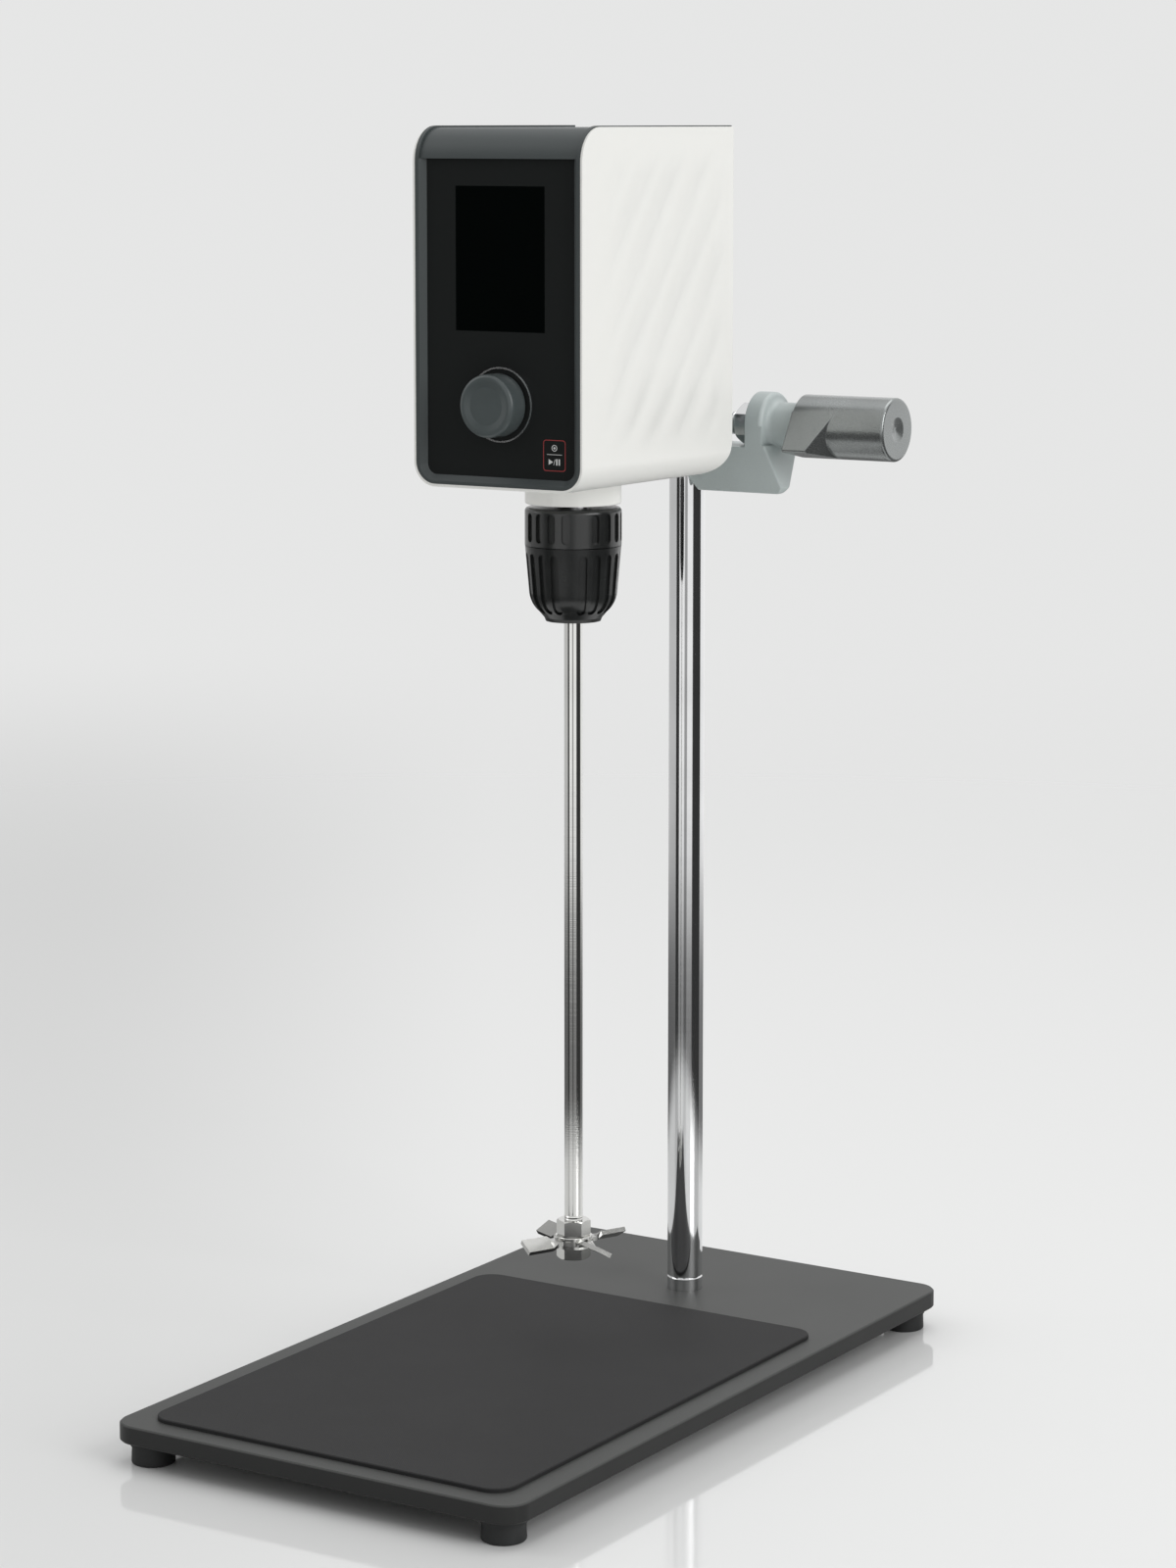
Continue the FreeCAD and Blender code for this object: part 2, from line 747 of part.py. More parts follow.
# The arm thins downward to a toe on its front side, and so does the slope from the hub.
arm_thin = "(cast_half*2-arm_toe)/(arm_floor-throat_down)"
for top, start, length in (("throat_down", "arm_left_x", "arm_right_x-arm_left_x+arm_clear"),
                           ("hub_down", "arm_slope_x", "arm_left_x-arm_slope_x")):
    cut_to = "cast_half-" + arm_thin + "*(" + top + "-throat_down)"
    extrude(clamp, "Pocket", "YZ", start, [[
        ("cast_half+arm_clear", minus(top)), (cut_to, minus(top)),
        ("-cast_half+arm_toe", "-arm_floor"), ("-cast_half+arm_toe", "-arm_floor-arm_clear"),
        ("cast_half+arm_clear", "-arm_floor-arm_clear")]], length, back=True)
turned(clamp, "Revolution", "XY", "H_Axis", [
    ("boss_x", "0"), ("neck_end_x", "0"), ("neck_end_x", "neck_r"), ("boss_end_x+boss_cove_r", "neck_r"),
    ("boss_end_x", "neck_r+boss_cove_r", "boss_cove_r", -1),
    ("boss_end_x-boss_edge_r", "cast_half", "boss_edge_r", 1), ("boss_x", "cast_half")])
extrude(clamp, "Pad", "XZ", "-(" + flange_face + ")", [
    rounded("-flange_half", "flange_low", "flange_half", "flange_high", "flange_round")],
    "flange_thick", back=True)
back_lift = "-(" + flange_face + ")-flange_thick+arch_lap"
wide_end = sketch(clamp, "XZ", back_lift, [
    box("-arch_half_back", "arch_low_back", "arch_half_back", "arch_high_back")])
slim_end = sketch(clamp, "XZ", "arch_sink", [
    box("-arch_half_hub", "arch_low_hub", "arch_half_hub", "arch_high_hub")])
arch = feature(clamp, "AdditiveLoft", wide_end)
arch.Sections = [slim_end]
arch.Ruled = True
clamp.Tip = arch
extrude(clamp, "Pocket", "XY", "flange_high+run_past", [("ring", "0", "0", hub_bore)],
        "flange_high+hub_down+run_past*2")
step_hole = [("ring", "0", "0", "sleeve_collar_r+sleeve_collar_side")]
step_deep = "sleeve_end_in+sleeve_collar_high+sleeve_collar_gap"
extrude(clamp, "Pocket", "XY", "hub_up", step_hole, step_deep)
extrude(clamp, "Pocket", "XY", "-hub_down", step_hole, step_deep, back=True)
extrude(clamp, "Pocket", "YZ", "0", [("ring", "0", "0", "screw_r+screw_gap")],
        "neck_end_x+run_past", back=True)
extrude(clamp, "Pocket", "YZ", "boss_x", [hexagon("nut_flats+nut_gap*2")], "nut_sunk", back=True)
bolt_holes = [("ring", side + "bolt_x", level, "bolt_r+bolt_gap")
              for side in ("-", "0+") for level in ("bolt_low", "bolt_high")]
extrude(clamp, "Pocket", "XZ", "-(" + flange_face + ")", bolt_holes, "flange_thick")

nut = piece("clamp_nut", x="nut_x", y="column_y", z="handle_z")
nut_long = "boss_x+nut_sunk-nut_x"
nut_tip = "nut_flats/sqrt(3)"
extrude(nut, "Pad", "YZ", "0", [hexagon("nut_flats")], nut_long)
for end, step, past in (("0", "0+", "-run_past"), (nut_long, "-", "+run_past")):
    shy = end + step + "nut_bevel*tan(30)"
    turned(nut, "Groove", "XY", "H_Axis", [
        (end, nut_tip + "-nut_bevel"), (shy, nut_tip + "+bevel_past"), (shy, nut_tip + "+run_past"),
        (end + past, nut_tip + "+run_past"), (end + past, nut_tip + "-nut_bevel")])
extrude(nut, "Pocket", "YZ", "-run_past", [("ring", "0", "0", "screw_r+nut_bore_gap")],
        nut_long + "+run_past*2", back=True)

shoe = piece("clamp_shoe", y="column_y", z="handle_z")
extrude(shoe, "Pad", "YZ", "0", [("ring", "0", "0", "shoe_r")], "shoe_x")
extrude(shoe, "Pocket", "XY", "0", [("ring", "0", "0", sleeve_r + "+shoe_gap")], "(shoe_r+run_past)*2",
        both=True)
extrude(shoe, "Pocket", "YZ", "shoe_x", [("ring", "0", "0", "nose_r+nose_gap")], "nose_long+nose_play")

screw = piece("clamp_screw", y="column_y", z="handle_z")
turned(screw, "Revolution", "XY", "H_Axis", [
    ("shoe_x-nose_long", "0"), ("screw_end_x", "0"), ("screw_end_x", "screw_r"),
    ("shoe_x+nose_play", "screw_r"), ("shoe_x+nose_play", "nose_r"), ("shoe_x-nose_long", "nose_r")])

grip = piece("clamp_handle", y="column_y", z="handle_z")
grip.setExpression("Placement.Rotation.Roll", fx("grip_turn"))
tip_r = "grip_r/cos(wing_half_angle)"
side_y = "grip_r*sin(wing_half_angle)"
side_z = "grip_r*cos(wing_half_angle)"
wing_loop = [("0", tip_r), (minus(side_y), side_z), (minus(side_y), minus(side_z)), ("0", minus(tip_r)),
             (side_y, minus(side_z)), (side_y, side_z)]
extrude(grip, "Pad", "YZ", "grip_x", [wing_loop], "wing_foot_x+wing_root-grip_x")
wing_past = "wing_foot_x+wing_root+run_past"
slants = [[("wing_tip_x", side + "(" + tip_r + ")"), ("wing_foot_x", side + "(" + side_z + ")"),
           (wing_past, side + "(" + side_z + ")"), (wing_past, side + "(" + tip_r + "+run_past)"),
           ("wing_tip_x", side + "(" + tip_r + "+run_past)")] for side in ("0+", "-")]
extrude(grip, "Pocket", "XZ", "0", slants, "(grip_r+run_past)*2", both=True)
soften(grip, "Fillet", "grip_break", lambda b: abs(abs(b.ZMin) - value(tip_r)) < 0.01
       and abs(abs(b.ZMax) - value(tip_r)) < 0.01 and b.XLength > 1)
turned(grip, "Revolution", "XY", "H_Axis", [
    ("grip_x", "screw_r+grip_bore_gap"), ("grip_x", "grip_r-grip_foot_break"),
    ("grip_x+grip_foot_break", "grip_r"), ("grip_end_x-grip_break", "grip_r"),
    ("grip_end_x", "grip_r-grip_break", "grip_break", -1), ("grip_end_x", "grip_dimple_r"),
    ("grip_end_x-grip_dimple_deep", "0"), ("grip_bore_x", "0"),
    ("grip_bore_x", "screw_r+grip_bore_gap")])
extrude(grip, "Pocket", "YZ", "grip_x-run_past", [("ring", "0", "0", "screw_r+grip_bore_gap")],
        "grip_bore_x-grip_x+run_past", back=True)

for number, spot in enumerate([(side + "bolt_x", level) for side in ("-", "0+")
                               for level in ("bolt_low", "bolt_high")]):
    bolt = piece("flange_screw_" + str(number + 1), spot[0], "head_front+head_deep+flange_thick",
                 "handle_z+" + spot[1])
    extrude(bolt, "Pad", "XZ", "0", [("ring", "0", "0", "bolt_head_r")], "bolt_head_high", back=True)
    soften(bolt, "Fillet", "plate_break", lambda b: flat_at(b, "Y", "bolt_head_high"))
    extrude(bolt, "Pad", "XZ", "0", [("ring", "0", "0", "bolt_r")], "bolt_long")
    extrude(bolt, "Pocket", "XZ", "-bolt_head_high", [hexagon("bolt_hex_r*2")], "bolt_hex_deep", back=True)


# ======================= head =======================
def head_piece(label):
    return piece(label, "0", "head_front", "head_low")


shell = head_piece("side_shell")
extrude(shell, "Pad", "YZ", "0", [[
    ("0", "0"), ("head_deep-rear_r", "0"), ("head_deep", "rear_r", "rear_r", 1), ("head_deep", "side_high"),
    ("front_r", "side_high"), ("0", "side_high-front_r", "front_r", 1)]], "head_half*2", both=True)
extrude(shell, "Pocket", "YZ", "0", [[
    ("-run_past", "wall"), ("head_deep-rear_r", "wall"), ("head_deep-wall", "rear_r", "rear_r-wall", 1),
    ("head_deep+run_past", "rear_r"), ("head_deep+run_past", "side_high+run_past"),
    ("-run_past", "side_high+run_past")]],
    "(head_half-wall)*2", both=True)
soften(shell, "Fillet", "low_edge_r-wall", lambda b: flat_at(b, "Z", "wall") and b.XLength < 0.01
       and b.YLength > value("rear_r") and near(abs(b.XMax), "head_half-wall"))
for side, turn in (("0+", 1), ("-", -1)):
    corner = [(side + "(head_half-low_edge_r)", "0"), (side + "head_half", "low_edge_r", "low_edge_r", turn),
              (side + "(head_half+run_past)", "low_edge_r"), (side + "(head_half+run_past)", "-run_past"),
              (side + "(head_half-low_edge_r)", "-run_past")]
    extrude(shell, "Pocket", "XZ", "0", [corner], "(head_deep+run_past)*2", both=True)
lugs = [("ring", side + "panel_screw_x", level, "lug_r")
        for side in ("-", "0+") for level in ("panel_screw_low", "panel_screw_top")]
extrude(shell, "Pad", "XZ", "-(head_deep-panel_thick-cover_seam)", lugs, "lug_long")
seam_top = "cover_high-cover_top_wall-cover_seam"
seam_back = "cover_front_wall+cover_seam"
inner_r = "front_r-cover_top_wall"
rebate_x = "cover_half+cover_seam"
rebate_z = "cover_foot-cover_seam"
rebate_r = "(cover_corner_r+cover_seam)"
extrude(shell, "Pocket", "XZ", "run_past", [[
    (minus(rebate_x), rebate_z + "+" + rebate_r), (minus(rebate_x) + "+" + rebate_r, rebate_z, rebate_r, 1),
    (rebate_x + "-" + rebate_r, rebate_z), (rebate_x, rebate_z + "+" + rebate_r, rebate_r, 1),
    (rebate_x, "side_high+run_past"), (minus(rebate_x), "side_high+run_past")]], seam_back + "+run_past")
extrude(shell, "Pocket", "YZ", "0", [[
    ("-run_past", seam_top + "-(" + inner_r + ")"), (seam_back, seam_top + "-(" + inner_r + ")"),
    (seam_back + "+" + inner_r, seam_top, inner_r, -1),
    ("head_deep+run_past", seam_top), ("head_deep+run_past", "cover_high+run_past"),
    ("-run_past", "cover_high+run_past")]],
    "(cover_half+cover_seam)*2", both=True)
lug_holes = [("ring", side + "panel_screw_x", level, "panel_screw_r")
             for side in ("-", "0+") for level in ("panel_screw_low", "panel_screw_top")]
extrude(shell, "Pocket", "XZ", "-(head_deep-panel_thick)", lug_holes, "panel_screw_long", back=True)
extrude(shell, "Pocket", "XY", "-run_past", [
    ("ring", "0", "spindle_back", "collar_spigot_r+collar_spigot_gap")], "wall+run_past*2", back=True)

cover = head_piece("front_cover")
cover_in = "cover_high-cover_top_wall"
extrude(cover, "Pad", "YZ", "0", [[
    ("0", "cover_foot"), ("cover_front_wall", "cover_foot"),
    ("cover_front_wall", cover_in + "-(" + inner_r + ")"),
    ("cover_front_wall+" + inner_r, cover_in, inner_r, -1),
    ("head_deep", cover_in), ("head_deep", "cover_high"), ("0", "cover_high")]],
    "cover_half*2", both=True)
soften(cover, "Fillet", "cover_corner_r", lambda b: flat_at(b, "Z", "cover_foot") and b.XLength < 0.01)
window = [("glass_half", "glass_top"), ("-glass_half", "glass_top"),
          ("-glass_half", "glass_low+glass_corner_r"),
          ("-glass_half+glass_corner_r", "glass_low", "glass_corner_r", 1),
          ("glass_half-glass_corner_r", "glass_low"),
          ("glass_half", "glass_low+glass_corner_r", "glass_corner_r", 1)]
extrude(cover, "Pocket", "XZ", "run_past", [window], "cover_front_wall+run_past*2")
soften(cover, "Chamfer", "glass_sunk", lambda b: flat_at(b, "Y", "0")
       and b.XMin > value("-glass_half") - 0.01 and b.XMax < value("glass_half") + 0.01
       and b.ZMax < value("glass_top") + 0.01 and b.ZMin < value("glass_top") - 0.01
       and b.ZMin > value("glass_low") - 0.01)
lap_half = "glass_half+glass_lap+glass_gap"
lap_low = "glass_low-glass_lap-glass_gap"
lap_top = "glass_top+glass_lap+glass_gap"
lap_r = "(glass_corner_r+glass_lap)"
extrude(cover, "Pocket", "XZ", "-glass_sunk", [
    [(lap_half, lap_top), (minus(lap_half), lap_top), (minus(lap_half), lap_low + "+" + lap_r),
     (minus(lap_half) + "+" + lap_r, lap_low, lap_r, 1), (lap_half + "-" + lap_r, lap_low),
     (lap_half, lap_low + "+" + lap_r, lap_r, 1)]], "cover_front_wall-glass_sunk+run_past")
extrude(cover, "Pocket", "YZ", "0", [[
    ("-run_past", "cover_high-front_r"), ("0", "cover_high-front_r"),
    ("front_r", "cover_high", "front_r", -1), ("front_r", "cover_high+run_past"),
    ("-run_past", "cover_high+run_past")]],
    "(cover_half+run_past)*2", both=True)
extrude(cover, "Pocket", "YZ", "0", [[
    ("-run_past", "glass_top"), ("rail_high", "glass_top"),
    ("front_r", "cover_high-rail_high", "front_r", -1),
    ("head_deep+run_past", "cover_high-rail_high"), ("head_deep+run_past", "cover_high+run_past"),
    ("-run_past", "cover_high+run_past")]],
    "rail_in*2", both=True)

glass = head_piece("glass_panel")
pane_half = "glass_half+glass_lap"
pane_low = "glass_low-glass_lap"
pane = [(pane_half, "glass_top+glass_lap"), (minus(pane_half), "glass_top+glass_lap"),
        (minus(pane_half), pane_low + "+" + lap_r),
        (minus(pane_half) + "+" + lap_r, pane_low, lap_r, 1), (pane_half + "-" + lap_r, pane_low),
        (pane_half, pane_low + "+" + lap_r, lap_r, 1)]
extrude(glass, "Pad", "XZ", "-glass_sunk", [pane, ("ring", "0", "knob_high", "bush_r+bush_gap")],
        "glass_thick", back=True)
channel = [("ring", "0", "knob_high", "ring_in-ring_gap"), ("ring", "0", "knob_high", "ring_out+ring_gap")]
extrude(glass, "Pocket", "XZ", "-glass_sunk", channel, "ring_sunk")

halo = head_piece("knob_ring")
bands = [("ring", "0", "knob_high", "ring_in"), ("ring", "0", "knob_high", "ring_out")]
extrude(halo, "Pad", "XZ", "-(glass_sunk-ring_proud)", bands, "ring_proud+ring_sunk", back=True)

display = head_piece("display_module")
glass_back = "glass_sunk+glass_thick"
extrude(display, "Pad", "XZ", "-(" + glass_back + ")", [
    box("-display_half", "display_low", "display_half", "display_top")],
    "display_back-glass_sunk-glass_thick", back=True)
posts = [("ring", side + "(display_half-display_post_in)", level, "display_post_r") for side in ("-", "0+")
         for level in ("display_low+display_post_in", "display_top-display_post_in")]
extrude(display, "Pad", "XZ", "-display_back", posts, "board_y-display_back", back=True)
extrude(display, "Pocket", "XZ", "-(" + glass_back + ")", [
    box("-screen_half", "screen_low", "screen_half", "screen_top")], "screen_deep")

board = head_piece("control_board")
extrude(board, "Pad", "XZ", "-board_y", [
    box("-board_half", "board_low", "board_half", "board_top")], "board_thick", back=True)
chip = box("-chip_half", "chip_low", "chip_half", "chip_top")
extrude(board, "Pad", "XZ", "-(board_y+board_thick)", [chip], "chip_thick", back=True)
plug = box("-plug_half", "plug_low", "plug_half", "plug_top")
extrude(board, "Pad", "XZ", "-(board_y+board_thick)", [plug], "plug_thick", back=True)
corner_holes = [("ring", side + "(board_half-display_post_in)", level, "board_hole_r") for side in ("-", "0+")
                for level in ("board_low+display_post_in", "board_top-display_post_in")]
extrude(board, "Pocket", "XZ", "-board_y", corner_holes, "board_thick")

encoder = piece("encoder_body", "0", "head_front", "head_low+knob_high")
extrude(encoder, "Pad", "XZ", "-encoder_front_y", [even("encoder_half", "encoder_half")],
        "board_y-encoder_front_y", back=True)
extrude(encoder, "Pad", "XZ", "-encoder_front_y", [("ring", "0", "0", "bush_r")],
        "encoder_front_y-glass_sunk+bush_out")
extrude(encoder, "Pocket", "XZ", "knob_out", [("ring", "0", "0", "knob_stem_r+bush_bore_gap")],
        "knob_out+plunger_room_y")
turned(encoder, "Groove", "YZ", "H_Axis", [
    ("plunger_room_y", "0"), ("plunger_room_end", "0"), ("plunger_room_end", "plunger_room_r"),
    ("plunger_room_y", "plunger_room_r")])

plunger = piece("push_plunger", "0", "head_front", "head_low+knob_high")
turned(plunger, "Revolution", "YZ", "H_Axis", [
    ("plunger_pit_y", "0"), ("plunger_end_y", "0"), ("plunger_end_y", "plunger_r"),
    ("plunger_y", "plunger_r"), ("plunger_y", "stem_nose_r+stem_nose_gap"),
    ("plunger_pit_y", "stem_nose_r+stem_nose_gap")])

knob_face = "glass_sunk-knob_out"
knob_back = "glass_sunk-knob_lift"
stem = piece("encoder_shaft", "0", "head_front", "head_low+knob_high")
turned(stem, "Revolution", "YZ", "H_Axis", [
    (knob_face + "+knob_web", "0"), ("stem_nose_y", "0"), ("stem_nose_y", "stem_nose_r"),
    ("stem_shoulder_y", "stem_nose_r"), ("stem_shoulder_y", "knob_stem_r"),
    (knob_face + "+knob_web", "knob_stem_r")])

knob = piece("control_knob", "0", "head_front", "head_low+knob_high")
turned(knob, "Revolution", "YZ", "H_Axis", [
    (knob_face + "+knob_dish", "0"), (knob_face + "+knob_web", "0"),
    (knob_face + "+knob_web", "knob_stem_r+knob_stem_gap"),
    (knob_back + "-knob_back_deep", "knob_stem_r+knob_stem_gap"),
    (knob_back + "-knob_back_deep", "knob_back_r"), (knob_back, "knob_back_r"),
    (knob_back, "knob_r-knob_back_edge_r"),
    (knob_back + "-knob_back_edge_r", "knob_r", "knob_back_edge_r", 1),
    (knob_face + "+knob_edge_r", "knob_r"), (knob_face, "knob_r-knob_edge_r", "knob_edge_r", 1),
    (knob_face, "knob_dish_out_r"),
    (knob_face + "+knob_dish", "knob_dish_in_r")])

base_top = "base_low+base_thick"
chassis = head_piece("motor_frame")
corner_y = "frame_back_y-frame_corner_r"
extrude(chassis, "Pad", "YZ", "0", [[
    ("base_front_y", "base_low"), (corner_y, "base_low"),
    ("frame_back_y", "base_low+frame_corner_r", "frame_corner_r", 1), ("frame_back_y", "frame_high"),
    ("frame_back_y-frame_thick", "frame_high"), ("frame_back_y-frame_thick", base_top + "+frame_thick"),
    ("frame_back_y-frame_thick*2", base_top), ("base_front_y", base_top)]],
    "base_half*2", both=True)
rib = extrude(chassis, "Pad", "YZ", "gusset_x", [[
    ("gusset_front_y", base_top + "-gusset_lap"),
    ("frame_back_y-frame_thick+gusset_lap", base_top + "-gusset_lap"),
    ("frame_back_y-frame_thick+gusset_lap", "gusset_high"),
    ("frame_back_y-frame_thick-gusset_tip", "gusset_high")]],
    "gusset_half*2", both=True)
repeat(chassis, "Mirrored", [rib], {"MirrorPlane": (origin_axis(chassis, "YZ_Plane"), [""])})
extrude(chassis, "Pad", "XY", "base_low", [("ring", "0", "spindle_back", "seat_boss_r")],
        "seat_boss_top-base_low")
extrude(chassis, "Pocket", "XY", "seat_boss_top", [("ring", "0", "spindle_back", "race_low_r+race_gap")],
        "seat_boss_top-race_low_z")
extrude(chassis, "Pocket", "XY", "seat_boss_top", [("ring", "0", "spindle_back", "race_pass_r")],
        "seat_boss_top")
frame_holes = [("ring", side + "bolt_x", "handle_z-head_low+" + level, "bolt_r+frame_hole_gap")
               for side in ("-", "0+") for level in ("bolt_low", "bolt_high")]
extrude(chassis, "Pocket", "XZ", "-(frame_back_y-frame_thick-run_past)", frame_holes,
        "frame_thick+run_past*2")


def axis_piece(label, lift="0"):
    return piece(label, "0", "spindle_y", "head_low+" + lift)


def race(label, lift, bore, outer, wide):
    ring_body = axis_piece(label, lift)
    turned(ring_body, "Revolution", "XZ", "V_Axis", [
        (bore, "race_break"), (bore + "+race_break", "0"), (bore + "+race_lip", "0"),
        (bore + "+race_lip", "race_dish"), (outer + "-race_lip", "race_dish"), (outer + "-race_lip", "0"),
        (outer + "-race_break", "0"), (outer, "race_break"), (outer, wide + "-race_break"),
        (outer + "-race_break", wide), (outer + "-race_lip", wide),
        (outer + "-race_lip", wide + "-race_dish"), (bore + "+race_lip", wide + "-race_dish"),
        (bore + "+race_lip", wide), (bore + "+race_break", wide), (bore, wide + "-race_break")])


race("lower_bearing", "race_low_z", "race_low_bore", "race_low_r", "race_low_wide")
race("upper_bearing", base_top + "+can_boss_top-race_top_wide", "race_top_bore", "race_top_r",
     "race_top_wide")

can = axis_piece("motor_can", base_top)
turned(can, "Revolution", "XZ", "V_Axis", [
    ("can_r-can_wall", "0"), ("can_r", "0"), ("can_r", "can_high-can_break"), ("can_r-can_break", "can_high"),
    ("can_boss_r", "can_high"), ("can_boss_r", "can_boss_top"), ("race_top_r+race_gap", "can_boss_top"),
    ("race_top_r+race_gap", "can_boss_top-race_top_wide"), ("can_pass_r", "can_boss_top-race_top_wide"),
    ("can_pass_r", "can_high-can_lid"), ("can_r-can_wall", "can_high-can_lid")])
post = extrude(can, "Pad", "XY", "can_high-can_lid", [
    ("ring", "post_at*cos(45)", "post_at*sin(45)", "post_r")], "post_top-can_high+can_lid")
repeat(can, "PolarPattern", [post], {"Axis": (origin_axis(can, "Z_Axis"), [""]), "Angle": 360,
                                     "Occurrences": 4})

core = axis_piece("motor_stator", base_top)
core_r = "can_r-can_wall-core_gap"
extrude(core, "Pad", "XY", "core_low", [("ring", "0", "0", core_r), ("ring", "0", "0", "core_in")],
        "core_high-core_low")
slot = extrude(core, "Pocket", "XY", "core_high", [
    box("core_in-run_past", "-slot_wide/2", "slot_out", "slot_wide/2")], "core_high-core_low")
repeat(core, "PolarPattern", [slot], {"Axis": (origin_axis(core, "Z_Axis"), [""]), "Angle": 360,
                                      "Occurrences": 12})

driver = axis_piece("driver_board", base_top + "+post_top")
board_low = "drive_y_low-spindle_back"
board_high = "drive_y_high-spindle_back"
extrude(driver, "Pad", "XY", "0", [box("-drive_half", board_low, "drive_half", board_high)], "board_thick")
cells = [("ring", side + "cell_x", "cell_y", "cell_r") for side in ("-", "0+")]
extrude(driver, "Pad", "XY", "board_thick", cells, "cell_high")
extrude(driver, "Pad", "XY", "board_thick", [box("-sink_half", "sink_front", "sink_half", "sink_back")],
        "sink_floor")
fins = [box("-sink_half+sink_pitch*" + str(step), "sink_front", "-sink_half+sink_fin+sink_pitch*" + str(step),
            "sink_back") for step in range(5)]
extrude(driver, "Pad", "XY", "board_thick+sink_floor", fins, "sink_high-sink_floor")

collar = axis_piece("spindle_collar")
turned(collar, "Revolution", "XZ", "V_Axis", [
    ("collar_seal_r", "-collar_high"), ("collar_r-collar_edge_r", "-collar_high"),
    ("collar_r", "-collar_high+collar_edge_r", "collar_edge_r", 1), ("collar_r", "0"),
    ("collar_spigot_r", "0"), ("collar_spigot_r", "wall"), ("collar_bore", "wall"),
    ("collar_bore", "-collar_high+collar_seal_deep"), ("collar_seal_r", "-collar_high+collar_seal_deep")])

panel = head_piece("back_panel")
inlet_box = box("inlet_x-inlet_half-inlet_gap", "inlet_z-inlet_half_high-inlet_gap",
                "inlet_x+inlet_half+inlet_gap", "inlet_z+inlet_half_high+inlet_gap")
switch_box = box("switch_x-switch_half-inlet_gap", "inlet_z-switch_half_high-inlet_gap",
                 "switch_x+switch_half+inlet_gap", "inlet_z+switch_half_high+inlet_gap")
panel_bolts = [("ring", side + "bolt_x", "handle_z-head_low+" + level, "bolt_r+bolt_gap")
               for side in ("-", "0+") for level in ("bolt_low", "bolt_high")]
extrude(panel, "Pad", "XZ", "-(head_deep-panel_thick)", [
    box("-panel_half", "panel_low", "panel_half", "panel_top"), inlet_box, switch_box] + panel_bolts,
    "panel_thick", back=True)
vent = extrude(panel, "Pocket", "XZ", "-(head_deep-panel_thick)", [
    rounded("-vent_half", "vent_low", "vent_half", "vent_low+vent_high", "vent_end_r")],
    "panel_thick")
vents = repeat(panel, "LinearPattern", [vent], {"Direction": (origin_axis(panel, "Z_Axis"), [""]),
                                                "Occurrences": 6})
vents.setExpression("Length", fx("vent_span"))
sinks = sketch(panel, "XZ", "-head_deep", [
    ("ring", side + "panel_screw_x", level, "panel_screw_r+panel_screw_gap")
    for side in ("-", "0+") for level in ("panel_screw_low", "panel_screw_top")])
doc.recompute()
sunk = feature(panel, "Hole", sinks)
sunk.DepthType = "ThroughAll"
sunk.HoleCutType = "Countersink"
sunk.HoleCutCustomValues = True
sunk.HoleCutCountersinkAngle = 90
sunk.setExpression("Diameter", fx("(panel_screw_r+panel_screw_gap)*2"))
sunk.setExpression("HoleCutDiameter", fx("(panel_screw_head_r+panel_screw_gap)*2"))
sunk.Reversed = True
panel.Tip = sunk

pin_end = "-(panel_screw_long+panel_thick-panel_screw_room)"
for number, spot in enumerate([(side + "panel_screw_x", level) for side in ("-", "0+")
                               for level in ("panel_screw_low", "panel_screw_top")]):
    pin = piece("panel_screw_" + str(number + 1), spot[0], "head_front+head_deep", "head_low+" + spot[1])
    turned(pin, "Revolution", "YZ", "H_Axis", [
        (pin_end, "0"), ("0", "0"), ("0", "panel_screw_head_r"),
        ("-(panel_screw_head_r-panel_screw_r)", "panel_screw_r"), (pin_end, "panel_screw_r")])
    extrude(pin, "Pocket", "XZ", "0", [even("panel_slot_half", "panel_screw_slot/2")],
            "panel_screw_slot", back=True)

inlet = piece("power_inlet", "inlet_x", "head_front+head_deep", "head_low+inlet_z")
extrude(inlet, "Pad", "XZ", "0", [
    rounded("-inlet_flange_half", "-inlet_flange_high", "inlet_flange_half", "inlet_flange_high",
            "inlet_round")], "inlet_flange_thick", back=True)
extrude(inlet, "Pad", "XZ", "0", [even("inlet_half", "inlet_half_high")], "inlet_deep")
extrude(inlet, "Pocket", "XZ", "-inlet_flange_thick", [[
    ("-inlet_cup_half", "-inlet_cup_high"), ("inlet_cup_half", "-inlet_cup_high"),
    ("inlet_cup_half", "inlet_cup_high-inlet_cup_bevel"),
    ("inlet_cup_half-inlet_cup_bevel", "inlet_cup_high"),
    ("-inlet_cup_half+inlet_cup_bevel", "inlet_cup_high"),
    ("-inlet_cup_half", "inlet_cup_high-inlet_cup_bevel")]], "inlet_cup_deep+inlet_flange_thick", back=True)
pins = [box(across + "-pin_half", up + "-pin_tall", across + "+pin_half", up + "+pin_tall")
        for across, up in (("-pin_pitch", "-pin_drop"), ("pin_pitch", "-pin_drop"), ("0", "pin_drop"))]
extrude(inlet, "Pad", "XZ", "inlet_cup_deep+pin_root", pins, "pin_out+pin_root", back=True)

switch = piece("power_switch", "switch_x", "head_front+head_deep", "head_low+inlet_z")
extrude(switch, "Pad", "XZ", "0", [
    rounded("-switch_flange_half", "-switch_flange_high", "switch_flange_half", "switch_flange_high",
            "inlet_round")], "switch_flange_thick", back=True)
extrude(switch, "Pad", "XZ", "0", [even("switch_half", "switch_half_high")], "switch_deep")
extrude(switch, "Pocket", "XZ", "-switch_flange_thick", [even("rocker_room_half", "rocker_room_high")],
        "rocker_room_deep+switch_flange_thick", back=True)

